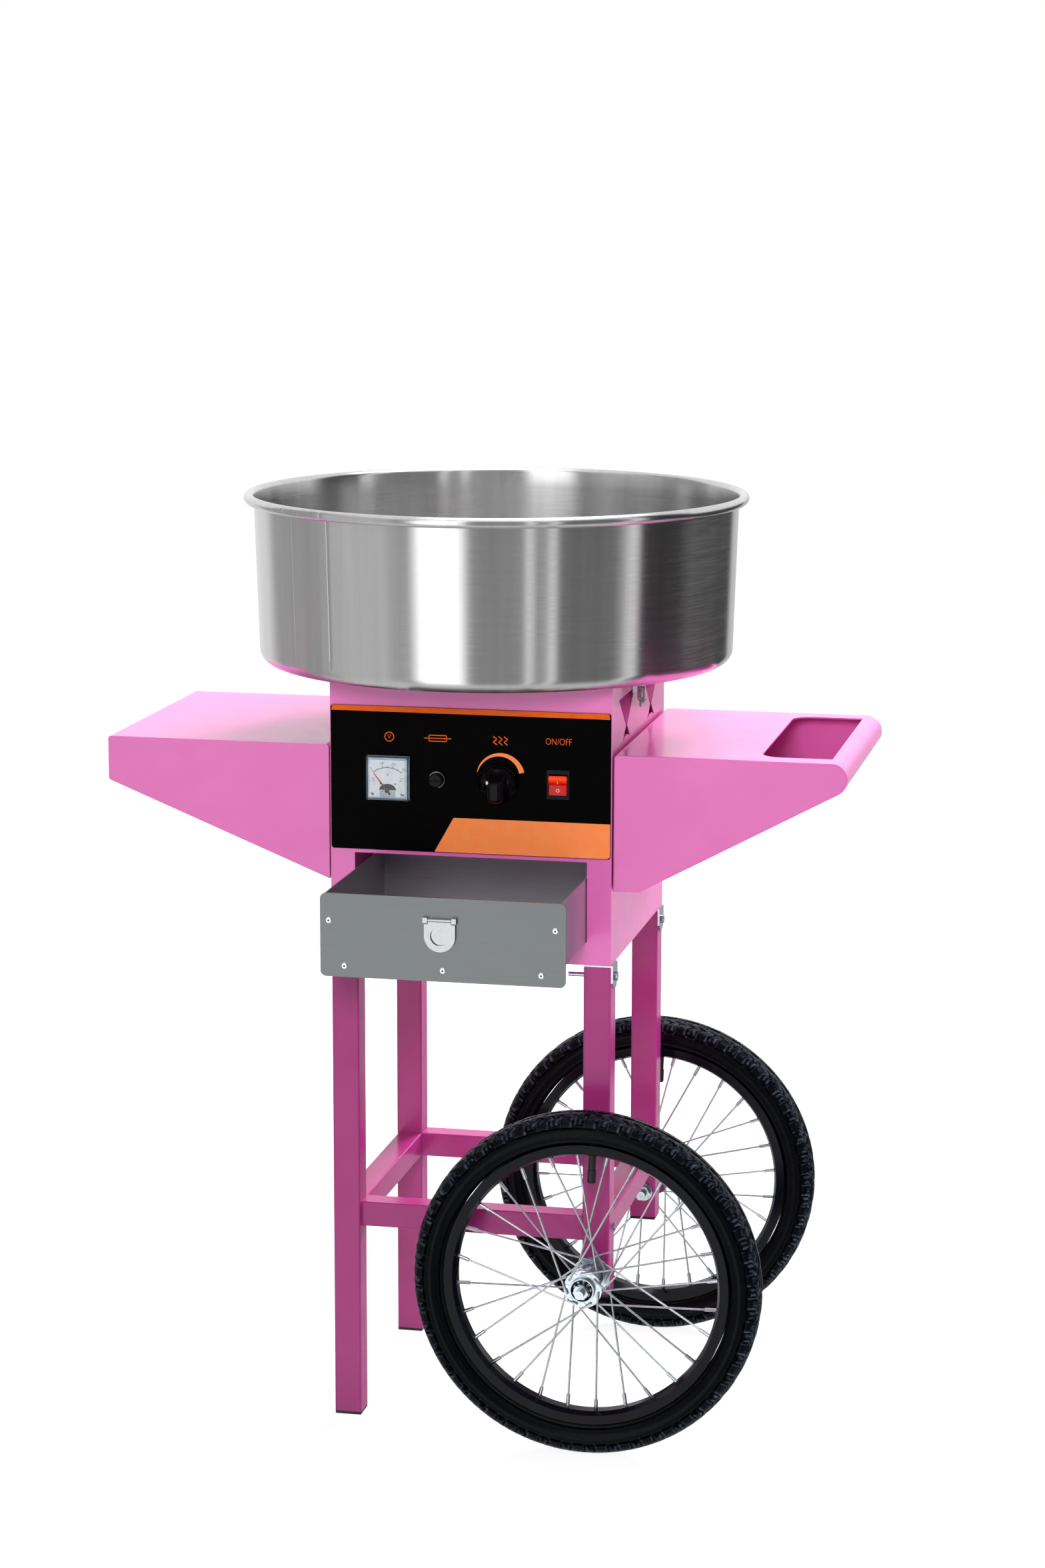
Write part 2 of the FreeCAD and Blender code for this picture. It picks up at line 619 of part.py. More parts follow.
def leg(side, end):
    """One leg: side is -1 left or 1 right, end is -1 front or 1 rear."""
    x0, x1 = side * HALF_W, side * (HALF_W - LEG)
    y0, y1 = end * HALF_D, end * (HALF_D - LEG)
    foot = SHORT_LEG_Z if side > 0 else 0
    tube = square_tube(x0, x1, y0, y1, foot + FOOT_T, LEG_TOP, "z")
    y_mid = end * (HALF_D - STRETCHER_IN - STRETCHER / 2)
    z_mid = STRETCHER_Z + STRETCHER / 2
    cuts = [rod((side * (HALF_W + 1), y_mid, z_mid), (side * (HALF_W - LEG - 1), y_mid, z_mid), 2.6)]
    y_leg = end * (HALF_D - LEG / 2)
    cuts.append(rod((side * (HALF_W + 1), y_leg, BOLT_Z), (side * (HALF_W - LEG - 1), y_leg, BOLT_Z), 2.4))
    if side > 0:
        outside = (WHEEL_X, end * (HALF_D + 1), WHEEL_R)
        inside = (WHEEL_X, end * (HALF_D - LEG - 1), WHEEL_R)
        cuts.append(rod(outside, inside, AXLE_R + 0.05))
    return tube.cut(union(cuts))


BOLT_Z = 481.0


def leg_plugs():
    """Black plastic plugs in the lower ends of the legs. The left pair stands on the floor."""
    made = []
    inset = TUBE_T + 0.1
    for side in SIDES:
        foot = SHORT_LEG_Z if side > 0 else 0
        for end in SIDES:
            cap = block(side * (HALF_W - 0.4), side * (HALF_W - LEG + 0.4),
                        end * (HALF_D - 0.4), end * (HALF_D - LEG + 0.4), foot, foot + FOOT_T)
            plug = block(side * (HALF_W - inset), side * (HALF_W - LEG + inset), end * (HALF_D - inset),
                         end * (HALF_D - LEG + inset), foot + FOOT_T, foot + FOOT_T + 14)
            made.append(cap.fuse(plug))
    return group(made)


def stretcher_front_or_rear(end):
    y0 = end * (HALF_D - STRETCHER_IN)
    if end > 0:
        y0 = HALF_D - LEG + STRETCHER
    half = HALF_W - LEG
    return square_tube(-half, half, y0, y0 - end * STRETCHER, STRETCHER_Z, STRETCHER_Z + STRETCHER, "x")


def stretcher_side(side):
    x0 = side * (HALF_W - LEG)
    y0 = -HALF_D + LEG
    return square_tube(x0, x0 + side * STRETCHER, y0, -y0, STRETCHER_Z, STRETCHER_Z + STRETCHER, "y")


def leg_brackets():
    """Zinc angles between the cabinet's floor and the outer face of each leg."""
    made = []
    for side in SIDES:
        for end in SIDES:
            y0, y1 = end * (HALF_D - 1), end * (HALF_D - LEG + 1)
            flat = block(side * (HALF_W + BRACKET_T), side * (HALF_W - LEG), y0, y1,
                         CAB_BOTTOM - BRACKET_T, CAB_BOTTOM)
            tab = block(side * HALF_W, side * (HALF_W + BRACKET_T), y0, y1, CAB_BOTTOM - 25, CAB_BOTTOM)
            lower = edges_along(tab, "x", lambda c: c.z < CAB_BOTTOM - 20)
            tab = tab.makeChamfer(7.0, lower)
            y_leg = end * (HALF_D - LEG / 2)
            hole = rod((side * 100, y_leg, BOLT_Z), (side * 160, y_leg, BOLT_Z), 2.4)
            made.append(flat.fuse(tab).cut(hole))
    return group(made)


def frame_screws():
    """Leg bolts below the cabinet, and the screws into the ends of the front and rear stretchers."""
    made = []
    for side in SIDES:
        for end in SIDES:
            y = end * (HALF_D - LEG / 2)
            x = side * (HALF_W + BRACKET_T)
            head = Part.makeCylinder(4.6, 2.6, V(x, y, BOLT_Z), V(side, 0, 0))
            made.append(head.fuse(rod((x, y, BOLT_Z), (side * 99, y, BOLT_Z), 2.3)))
            y = end * (HALF_D - STRETCHER_IN - STRETCHER / 2)
            z = STRETCHER_Z + STRETCHER / 2
            head = Part.makeCylinder(4.6, 2.6, V(side * HALF_W, y, z), V(side, 0, 0))
            made.append(head.fuse(rod((side * HALF_W, y, z), (side * (HALF_W - LEG - 12), y, z), 2.5)))
    return group(made)


def wheel_axles():
    return group([rod((WHEEL_X, e * AXLE_OUT, WHEEL_R), (WHEEL_X, e * AXLE_IN, WHEEL_R), AXLE_R)
                  for e in SIDES])


def axle_hardware():
    """Cones, bearing balls, locknuts, spacers, washers and nuts on both axles."""
    made = []
    x, z = WHEEL_X, WHEEL_R
    bore = AXLE_R + 0.05
    for e in SIDES:
        def at(y):
            return (x, e * y, z)

        for way in SIDES:
            mid = WHEEL_Y + way * 26.5
            face = WHEEL_Y + way * 33.5
            cone = rod(at(WHEEL_Y + way * 22.0), at(mid), 5.9).fuse(rod(at(mid), at(face), 7.6))
            made.append(cone.cut(rod(at(100), at(300), bore)))
            made.append(hexagon(at(face), at(face + way * 3.2), 13.5).cut(rod(at(100), at(300), bore)))
            for k in range(9):
                turn = 2 * pi * k / 9
                ball_at = V(x + 8.5 * cos(turn), e * (WHEEL_Y + way * 24.0), z + 8.5 * sin(turn))
                made.append(Part.makeSphere(2.3, ball_at))
        inner_face = WHEEL_Y - 33.5 - 3.2
        made.append(pipe(at(HALF_D + 1.5), at(inner_face), 7.0, bore))
        made.append(pipe(at(HALF_D), at(HALF_D + 1.5), 10.0, bore))
        made.append(pipe(at(HALF_D - LEG), at(HALF_D - LEG - 1.5), 10.0, bore))
        nut = hexagon(at(HALF_D - LEG - 1.5), at(HALF_D - LEG - 9), 15)
        made.append(nut.cut(rod(at(100), at(300), bore)))
    return group(made)


def wheel_hub(e):
    """A turned hub shell: two flanges with spoke holes, a waisted barrel and a cup at each end."""
    y = e * WHEEL_Y
    t = FLANGE_T / 2
    half = [(0, 9.5), (FLANGE_Y - 4, 10.5), (FLANGE_Y - t, 12.5), (FLANGE_Y - t, FLANGE_R),
            (FLANGE_Y + t, FLANGE_R), (FLANGE_Y + t, 12.8), (FLANGE_Y + 6.5, 12.3)]
    cup = [(11.2, FLANGE_Y + 6.5), (11.2, FLANGE_Y - 1.5), (7.0, FLANGE_Y - 3.5)]
    profile = [(r, y - a) for a, r in reversed(half[1:])] + [(r, y + a) for a, r in half]
    profile += [(r, y + a) for r, a in cup] + [(r, y - a) for r, a in reversed(cup)]
    hub = turned(profile, WHEEL_X, WHEEL_R, upright=False)
    holes = [SpokeLine(k, e).elbow(FLANGE_T + 2, SPOKE_R + 0.25) for k in range(SPOKES)]
    return hub.cut(union(holes))


class SpokeLine:
    """Where one spoke runs. Spokes lean to the two flanges in turn, and on each flange they
    leave forwards and backwards in turn, from its outer and its inner face. A spoke on the
    outer face lies flat on the flange up to its edge and bends there."""

    def __init__(self, k, e):
        step = 360 / SPOKES
        self.way = 1 if k % 2 else -1
        self.lead = 1 if (k // 2) % 2 else -1
        b = radians(VALVE_ANGLE + step * (k + 0.5))
        a = b + self.lead * radians(CROSSES * 2 * step)
        self.flange = V(WHEEL_X + SPOKE_RING_R * cos(a), e * WHEEL_Y + self.way * FLANGE_Y,
                        WHEEL_R + SPOKE_RING_R * sin(a))
        self.off = V(0, self.way * self.lead, 0)
        self.start = self.flange + self.off * SPOKE_LIFT
        seat_y = e * WHEEL_Y + self.way * (2.0 + 0.7 * self.lead)
        self.seat = V(WHEEL_X + RIM_IN * cos(b), seat_y, WHEEL_R + RIM_IN * sin(b))
        flat = V(self.seat.x - self.start.x, 0, self.seat.z - self.start.z)
        flat.normalize()
        self.knee = self.start + flat * (11.0 if self.lead > 0 else 0.0)
        self.out = self.seat - self.knee
        self.out.normalize()

    def elbow(self, length, r):
        return Part.makeCylinder(r, length, self.flange - self.off * (length / 2), self.off)

    def nipple(self, back, ahead, r):
        return Part.makeCylinder(r, back + ahead, self.seat - self.out * back, self.out)


def wheel_spokes(e):
    """Spokes with a bent end and a head at the flange, and a nipple through the rim."""
    made = []
    for k in range(SPOKES):
        line = SpokeLine(k, e)
        far = line.seat - line.out * NIPPLE_L
        pieces = [rod(line.knee, far, SPOKE_R), Part.makeSphere(SPOKE_R, line.start)]
        if line.lead > 0:
            pieces += [rod(line.start, line.knee, SPOKE_R), Part.makeSphere(SPOKE_R, line.knee)]
        pieces.append(Part.makeCylinder(SPOKE_R, SPOKE_LIFT + FLANGE_T / 2 + 0.6, line.start, line.off * -1))
        head_at = line.flange - line.off * (FLANGE_T / 2 + 0.05)
        pieces.append(Part.makeCylinder(1.7, 0.8, head_at, line.off * -1))
        made.append(union(pieces))
        made.append(line.nipple(NIPPLE_L - 0.05, 3.5, 1.9))
    return group(made)


def wheel_rim(e):
    y = e * WHEEL_Y
    h = RIM_HALF
    profile = [(RIM_IN + 3, y - h), (RIM_OUT, y - h), (RIM_OUT, y - h + 2), (RIM_IN + 5, y - h + 2.5),
               (RIM_IN + 2, y - 6), (RIM_IN + 2, y + 6), (RIM_IN + 5, y + h - 2.5), (RIM_OUT, y + h - 2),
               (RIM_OUT, y + h), (RIM_IN + 3, y + h), (RIM_IN, y + 6), (RIM_IN, y - 6)]
    rim = turned(profile, WHEEL_X, WHEEL_R, upright=False)
    a = radians(VALVE_ANGLE)
    foot = (WHEEL_X + 120 * cos(a), y, WHEEL_R + 120 * sin(a))
    holes = [rod(foot, (WHEEL_X + 150 * cos(a), y, WHEEL_R + 150 * sin(a)), 4.2)]
    holes += [SpokeLine(k, e).nipple(6, 8, 1.95) for k in range(SPOKES)]
    return rim.cut(union(holes))


def wheel_tyre(e):
    """The tyre's horseshoe section, with its beads between the rim's edges."""
    y = e * WHEEL_Y

    def side(s):
        return [(RIM_IN + 5.5, y + s * 9.7), (RIM_OUT + 0.4, y + s * 9.9)]

    crown = WHEEL_R
    profile = side(-1)
    profile.append(("arc", (159, y - 21.8), (172.5, y - 17.5)))
    profile.append(("arc", (crown, y), (172.5, y + 17.5)))
    profile.append(("arc", (159, y + 21.8), (RIM_OUT + 0.4, y + 9.9)))
    profile += [(RIM_IN + 5.5, y + 9.7), (RIM_IN + 5.5, y + 6.5), (RIM_OUT, y + 6.5)]
    profile.append(("arc", (159, y + 18.0), (169.5, y + 14.5)))
    profile.append(("arc", (crown - 4.5, y), (169.5, y - 14.5)))
    profile.append(("arc", (159, y - 18.0), (RIM_OUT, y - 6.5)))
    profile.append((RIM_IN + 5.5, y - 6.5))
    return turned(profile, WHEEL_X, WHEEL_R, upright=False)


def inner_tube(e):
    """The air tube, with its valve stem and cap standing in towards the hub."""
    y = e * WHEEL_Y
    section = 11.0
    ring = Part.makeTorus(157.5, section, V(WHEEL_X, y, WHEEL_R), V(0, 1, 0))
    ring = ring.cut(Part.makeTorus(157.5, section - 1.4, V(WHEEL_X, y, WHEEL_R), V(0, 1, 0)))
    a = radians(VALVE_ANGLE)

    def at(r):
        return (WHEEL_X + r * cos(a), y, WHEEL_R + r * sin(a))

    stem = rod(at(147.5), at(118), 3.7)
    cap = rod(at(118), at(104), 4.3)
    tip = edges_near(cap, at(104))
    return ring.fuse(stem).fuse(cap.makeFillet(1.5, tip))


def edges_near(shape, point):
    return [e for e in shape.Edges if (e.CenterOfMass - V(*point)).Length < 0.5]


def bowl():
    """The spun bowl with its rolled rim and the collar round the hole for the head. Two small
    hooks for the clips stand under its floor."""
    t = BOWL_T
    c = BOWL_CORNER
    z = BOWL_Z
    low = BOWL_R_LOW
    bend = c * (1 - cos(pi / 4))
    rim_r = BOWL_RIM_R - RIM_TUBE_R
    profile = [(BOWL_HOLE_R, z), (low - c, z), ("arc", (low - bend, z + bend), (low, z + c)),
               (BOWL_R_TOP, BOWL_RIM_Z + 1), (BOWL_R_TOP - t, BOWL_RIM_Z + 1), (low - t, z + c),
               ("arc", (low - bend - t * 0.7, z + bend + t * 0.7), (low - c, z + t)),
               (BOWL_HOLE_R + t, z + t), (BOWL_HOLE_R + t, z + COLLAR_H), (BOWL_HOLE_R, z + COLLAR_H)]
    shape = turned(profile, AXIS_X, 0)
    shape = shape.fuse(Part.makeTorus(rim_r, RIM_TUBE_R, V(AXIS_X, 0, BOWL_RIM_Z)))
    for s in SIDES:
        plate = block(s * 151.6, s * 152.8, CLIP_Y - 6, CLIP_Y + 6, z - 8, z + 0.5)
        lip = block(s * 151.6, s * 157, CLIP_Y - 6, CLIP_Y + 6, z - 8, z - 6.8)
        shape = shape.multiFuse([plate, lip])
    return shape


def motor_shaft():
    """The upright shaft with its two slip rings on an insulating sleeve."""
    shaft = rod((AXIS_X, 0, 640), (AXIS_X, 0, HEAD_Z + 30), SHAFT_R)
    sleeve = rod((AXIS_X, 0, 752), (AXIS_X, 0, 774), 13)
    rings = [rod((AXIS_X, 0, z), (AXIS_X, 0, z + 6), 17) for z in (754, 765)]
    return union([shaft, sleeve] + rings)


def spinner_head():
    """The spinning head: a pan, a ring wall with fine slots and a dished lid with a sugar hole."""
    z = HEAD_Z
    r = HEAD_R
    dish = [(0, z - 4), (20, z - 4), (r - 4, z), (r, z), (r, z + 2), (r - 4, z + 2), (18, z - 2), (0, z - 2)]
    pan = turned(dish, AXIS_X, 0)
    boss = rod((AXIS_X, 0, z - 16), (AXIS_X, 0, z - 2), 12)
    wall = pipe((AXIS_X, 0, z + 2), (AXIS_X, 0, z + 34), r, r - 1.5)
    slot_rows = []
    for k in range(36):
        a = 2 * pi * k / 36
        start = (AXIS_X + (r - 5) * cos(a), (r - 5) * sin(a))
        end = (AXIS_X + (r + 5) * cos(a), (r + 5) * sin(a))
        slot_rows.append(rod((*start, z + 12), (*end, z + 12), 1.2))
        slot_rows.append(rod((*start, z + 24), (*end, z + 24), 1.2))
    wall = wall.cut(group(slot_rows))
    lid = turned([(24, z + 28), (r, z + 34), (r, z + 36), (24, z + 30)], AXIS_X, 0)
    cup = pipe((AXIS_X, 0, z + 8), (AXIS_X, 0, z + 30), 26, 24)
    head = union([pan, boss, wall, lid, cup])
    return head.cut(rod((AXIS_X, 0, 700), (AXIS_X, 0, z + 40), SHAFT_R + 0.03))


def heater_ring():
    z = HEAD_Z + 6
    core = pipe((AXIS_X, 0, z), (AXIS_X, 0, z + 20), 55, 50)
    grooves = [Part.makeTorus(55.6, 1.4, V(AXIS_X, 0, z + 3.5 + 4.3 * k)) for k in range(4)]
    feet = []
    for a in (0.5, 2.6, 4.7):
        x, y = AXIS_X + 50.5 * cos(a), 50.5 * sin(a)
        feet.append(block(x - 3, x + 3, y - 3, y + 3, HEAD_Z + 2, z + 2))
    return core.cut(union(grooves)).multiFuse(feet)


def motor_body():
    """The motor with its end bells and the plate that hangs it from the lid."""
    can = rod((AXIS_X, 0, 632), (AXIS_X, 0, 724), 45)
    top = rod((AXIS_X, 0, 724), (AXIS_X, 0, 736), 40)
    tail = rod((AXIS_X, 0, 624), (AXIS_X, 0, 632), 30)
    plate = block(AXIS_X - 58, AXIS_X + 58, -58, 58, 736, 739)
    body = union([can, top, tail, plate])
    holes = [rod((x, y, 730), (x, y, 745), 3.1) for x, y in MOUNTS]
    return body.cut(union(holes + [rod((AXIS_X, 0, 635), (AXIS_X, 0, 760), SHAFT_R + 0.05)]))


MOUNTS = [(AXIS_X + sx * 50, sy * 50) for sx in SIDES for sy in SIDES]


def motor_mounts():
    made = []
    for x, y in MOUNTS:
        rubber = rod((x, y, 739), (x, y, CAB_TOP - SHEET), 9)
        stud = rod((x, y, 730), (x, y, 739), 3.0)
        made.append(rubber.fuse(stud))
    return group(made)


def brush_holder():
    """An insulated post beside the slip rings, with two brushes reaching to them."""
    x = AXIS_X
    post = block(x - 8, x + 8, 34, 46, 746, CAB_TOP - SHEET)
    brushes = [block(x - 3, x + 3, 17.3, 34.5, z + 1, z + 5) for z in (754, 765)]
    return union([post] + brushes)


def clip_base():
    px, pz = CLIP_PIN
    plate = block(HALF_W, HALF_W + 1.2, CLIP_Y - 11, CLIP_Y + 11, 755.5, 777)
    ears = [block(HALF_W + 1, px + 2.5, CLIP_Y + s * 8.2, CLIP_Y + s * 9.6, pz - 4, pz + 3.5) for s in SIDES]
    pin = rod((px, CLIP_Y - 10.2, pz), (px, CLIP_Y + 10.2, pz), 1.5)
    return union([plate] + ears + [pin])


def clip_lever():
    """The lever hangs from the pin, and its lower end curls outwards as a finger tab."""
    px, pz = CLIP_PIN
    y0, y1 = CLIP_Y - LEVER_HALF, CLIP_Y + LEVER_HALF
    knuckle = rod((px, y0, pz), (px, y1, pz), 2.9)
    bent = [(150.2, pz), (151.4, pz), (151.4, 753), ("arc", (153.0, 748.6), (157.4, 747.2)), (157.4, 746.0),
            ("arc", (151.9, 747.8), (150.2, 753))]
    arm = along_y(bent, y0, y1)
    lugs = [block(151.0, BAIL_PIN[0] + 1.8, CLIP_Y + s * (LEVER_HALF - 1.2), CLIP_Y + s * LEVER_HALF,
                  BAIL_PIN[1] - 2, BAIL_PIN[1] + 2) for s in SIDES]
    lever = union([knuckle, arm] + lugs)
    lever = lever.cut(rod((px, y0 - 1, pz), (px, y1 + 1, pz), 1.56))
    return lever.cut(rod((BAIL_PIN[0], y0 - 1, BAIL_PIN[1]), (BAIL_PIN[0], y1 + 1, BAIL_PIN[1]), 1.05))


def clip_bail():
    """A wire loop, hung from the lever's two lugs."""
    x, z = BAIL_PIN
    r = 1.0
    parts = []
    for s in SIDES:
        corner = (x, CLIP_Y + s * BAIL_HALF, z)
        foot = (x, CLIP_Y + s * BAIL_HALF, BAIL_END_Z + r)
        parts.append(rod((x, CLIP_Y + s * (LEVER_HALF - 1.6), z), corner, r))
        parts.append(Part.makeSphere(r, V(*corner)))
        parts.append(rod(corner, foot, r))
        parts.append(Part.makeSphere(r, V(*foot)))
    parts.append(rod((x, CLIP_Y - BAIL_HALF, BAIL_END_Z + r), (x, CLIP_Y + BAIL_HALF, BAIL_END_Z + r), r))
    return union(parts)


def build():
    os.makedirs("parts", exist_ok=True)
    save("cabinet_shell", cabinet_shell())
    save("cabinet_floor", cabinet_floor())
    save("cabinet_top", cabinet_top())
    save("rear_cover", rear_cover())
    save("cabinet_screws", small_screws())
    save("cord_gland", cord_gland())
    save("control_panel", control_panel())
    save("meter_body", meter_body())
    save("meter_cover", meter_cover())
    save("meter_dial", meter_dial())
    save("meter_needle", meter_needle())
    save("fuse_holder", fuse_holder())
    save("fuse_cap", fuse_cap())
    save("dimmer_body", dimmer_body())
    save("temperature_knob", temperature_knob())
    save("switch_body", switch_body())
    save("switch_rocker", switch_rocker())
    save("drawer_box", drawer_box())
    save("drawer_front", drawer_front())
    save("drawer_rivets", drawer_rivets())
    save("latch_base", latch_base())
    save("latch_flap", latch_flap())
    save("drawer_runners", drawer_runners())
    save("left_shelf", left_shelf())
    save("right_shelf", right_shelf())
    for side, side_name in zip(SIDES, ("left", "right")):
        for end, end_name in zip(SIDES, ("front", "rear")):
            save("leg_" + end_name + "_" + side_name, leg(side, end))
        save("stretcher_" + side_name, stretcher_side(side))
    save("leg_plugs", leg_plugs())
    save("leg_brackets", leg_brackets())
    save("frame_screws", frame_screws())
    save("wheel_axles", wheel_axles())
    save("axle_hardware", axle_hardware())
    for end, name in zip(SIDES, ("front", "rear")):
        save("stretcher_" + name, stretcher_front_or_rear(end))
        save(name + "_hub", wheel_hub(end))
        save(name + "_spokes", wheel_spokes(end))
        save(name + "_rim", wheel_rim(end))
        save(name + "_tyre", wheel_tyre(end))
        save(name + "_inner_tube", inner_tube(end))
    save("bowl", bowl())
    save("motor_shaft", motor_shaft())
    save("spinner_head", spinner_head())
    save("heater_ring", heater_ring())
    save("motor_body", motor_body())
    save("motor_mounts", motor_mounts())
    save("brush_holder", brush_holder())
    base, lever, bail = clip_base(), clip_lever(), clip_bail()
    save("clip_bases", group([base, mirrored(base)]))
    save("clip_lever_right", lever)
    save("clip_lever_left", mirrored(lever))
    save("clip_bail_right", bail)
    save("clip_bail_left", mirrored(bail))


build()
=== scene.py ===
"""Cotton candy cart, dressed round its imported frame: the finishes of every node, the turned bowl,
the tyres with their tread, the knob and the rocker, the prints and marks of the control panel, and
the floor, light and camera. Metres, +Z up, the control panel faces -Y and the wheels stand at the
+X end."""
import math

import bmesh
import bpy
import numpy as np
from mathutils import Matrix, Vector


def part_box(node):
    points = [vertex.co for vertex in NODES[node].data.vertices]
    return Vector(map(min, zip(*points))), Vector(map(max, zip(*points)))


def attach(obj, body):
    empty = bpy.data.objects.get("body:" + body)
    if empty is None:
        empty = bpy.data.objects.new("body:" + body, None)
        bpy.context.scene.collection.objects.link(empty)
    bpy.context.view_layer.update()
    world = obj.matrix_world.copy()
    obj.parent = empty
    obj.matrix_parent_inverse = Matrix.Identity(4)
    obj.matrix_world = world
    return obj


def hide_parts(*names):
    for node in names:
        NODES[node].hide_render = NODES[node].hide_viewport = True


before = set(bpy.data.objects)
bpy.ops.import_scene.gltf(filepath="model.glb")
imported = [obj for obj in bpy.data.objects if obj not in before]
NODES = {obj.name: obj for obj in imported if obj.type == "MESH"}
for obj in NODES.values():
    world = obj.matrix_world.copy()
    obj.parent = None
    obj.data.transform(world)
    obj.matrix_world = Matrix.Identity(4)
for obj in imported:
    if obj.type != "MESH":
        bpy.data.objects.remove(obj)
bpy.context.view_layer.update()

MM = 0.001
TURN = 2 * math.pi

# The photograph's camera
SENSOR = 36.0
LENS = 83.75
CAMERA_PLACE = (0.80083, -3.65327, 1.33951)
CAMERA_YAW = math.radians(12.01)
CAMERA_PITCH = math.radians(10.46)
CAMERA_ROLL = math.radians(0.12)

# Places read from the frame, in metres
SHELL_LOW, SHELL_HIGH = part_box("cabinet_shell")
MID_Y = (SHELL_LOW.y + SHELL_HIGH.y) / 2
FACE_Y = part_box("control_panel")[0].y
BOWL_LOW, BOWL_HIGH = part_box("bowl")
BOWL_X = (BOWL_LOW.x + BOWL_HIGH.x) / 2

# The needle's pivot in drawn millimetres, and where its red lacquer starts, in metres from the pivot
METER_X = -84.0
METER_PIVOT_Z = 665.5
NEEDLE_AHEAD = 0.006
RED_FROM = 0.0112
RED_FULL = 0.0122

# The part of its range that a noise value mostly stays in
NOISE_LOW = 0.3
NOISE_HIGH = 0.7

# A letter's height over the size of its font
CAP_HEIGHT = 0.73


def linear(code):
    """An sRGB hex colour as linear RGBA."""
    parts = np.array([int(code[k:k + 2], 16) for k in (1, 3, 5)]) / 255
    parts = np.where(parts <= 0.04045, parts / 12.92, ((parts + 0.055) / 1.055) ** 2.4)
    return (*[float(v) for v in parts], 1.0)


def add(tree, kind, inputs=None, **settings):
    """Adds one node to a tree. Its inputs are values or other nodes' output sockets."""
    made = tree.nodes.new(kind)
    for key, value in settings.items():
        setattr(made, key, value)
    for key, value in (inputs or {}).items():
        socket = made.inputs[key]
        if isinstance(value, bpy.types.NodeSocket):
            tree.links.new(value, socket)
        else:
            socket.default_value = value
    return made


def new_material(name, **sockets):
    """A material with one Principled shader whose sockets are set directly."""
    material = bpy.data.materials.new(name)
    material.use_nodes = True
    tree = material.node_tree
    tree.nodes.clear()
    shader = add(tree, "ShaderNodeBsdfPrincipled", {key.replace("_", " "): v for key, v in sockets.items()})
    add(tree, "ShaderNodeOutputMaterial", {"Surface": shader.outputs["BSDF"]})
    return material, tree, shader


def calc(tree, operation, *values):
    """The result of one Math node."""
    return add(tree, "ShaderNodeMath", dict(enumerate(values)), operation=operation).outputs[0]


def mapped(tree, value, start, end, low=0.0, high=1.0, run="LINEAR"):
    """A value turned into low before start and high after end, with a run between them."""
    ranged = add(tree, "ShaderNodeMapRange", {"Value": value, "From Min": start, "From Max": end,
                                              "To Min": low, "To Max": high}, interpolation_type=run)
    return ranged.outputs["Result"]


def mixed(tree, factor, first, second, kind="FLOAT"):
    """The result of one Mix node: first where the factor is 0, second where it is 1."""
    mix = add(tree, "ShaderNodeMix", {"Factor": factor, "A": first, "B": second}, data_type=kind)
    return mix.outputs["Result"]


def object_place(tree):
    """The Object coordinates, in metres."""
    return add(tree, "ShaderNodeTexCoord").outputs["Object"]


def grain(tree, size, stretch=(1, 1, 1), detail=2.0, rough=0.5):
    """Noise on Object coordinates with grains of a real size in metres, stretched along the axes."""
    scaled = add(tree, "ShaderNodeVectorMath", {0: object_place(tree), 1: [1 / s for s in stretch]},
                 operation="MULTIPLY")
    noise = add(tree, "ShaderNodeTexNoise", {"Vector": scaled.outputs[0], "Scale": 1 / size,
                                             "Detail": detail, "Roughness": rough})
    return noise.outputs["Fac"]


def spread(tree, value, low, high):
    """A noise value spread over a range."""
    return mapped(tree, value, NOISE_LOW, NOISE_HIGH, low, high)


def two_tone(tree, shader, factor, first, second):
    """The base colour runs between two hex colours by a factor."""
    tones = add(tree, "ShaderNodeValToRGB", {"Fac": factor})
    tones.color_ramp.elements[0].color = linear(first)
    tones.color_ramp.elements[1].color = linear(second)
    tree.links.new(tones.outputs["Color"], shader.inputs["Base Color"])


def bump(tree, shader, height, depth):
    """Small relief: a height of 0 to 1 times a depth in metres."""
    normal = add(tree, "ShaderNodeBump", {"Height": height, "Distance": depth, "Strength": 1.0})
    tree.links.new(normal.outputs["Normal"], shader.inputs["Normal"])
    return normal.outputs["Normal"]


def powder_coat(name, first, second, rough=(0.2, 0.26), coat=0.3, level=0.5):
    """Gloss powder coat on sheet steel, sprayed and baked: an even colour with a faint cloud over
    some centimetres, and a fine orange peel of about 5 mm that softens reflections."""
    material, tree, shader = new_material(name, IOR=1.5, Coat_Weight=coat, Coat_Roughness=0.07, Coat_IOR=1.5,
                                          Specular_IOR_Level=level)
    two_tone(tree, shader, spread(tree, grain(tree, 0.09), 0, 1), first, second)
    tree.links.new(spread(tree, grain(tree, 0.02), *rough), shader.inputs["Roughness"])
    normal = bump(tree, shader, grain(tree, 0.005, detail=1.0), 0.0000015)
    tree.links.new(normal, shader.inputs["Coat Normal"])
    return material


def plated_zinc(name, first, second, rough=(0.18, 0.26)):
    """Bright plating or bright bare metal: small cloudy crystals of about 2 mm."""
    material, tree, shader = new_material(name, Metallic=1.0)
    two_tone(tree, shader, spread(tree, grain(tree, 0.004), 0, 1), first, second)
    tree.links.new(spread(tree, grain(tree, 0.002, detail=4.0), *rough), shader.inputs["Roughness"])
    bump(tree, shader, grain(tree, 0.0015, detail=3.0), 0.0000006)
    return material


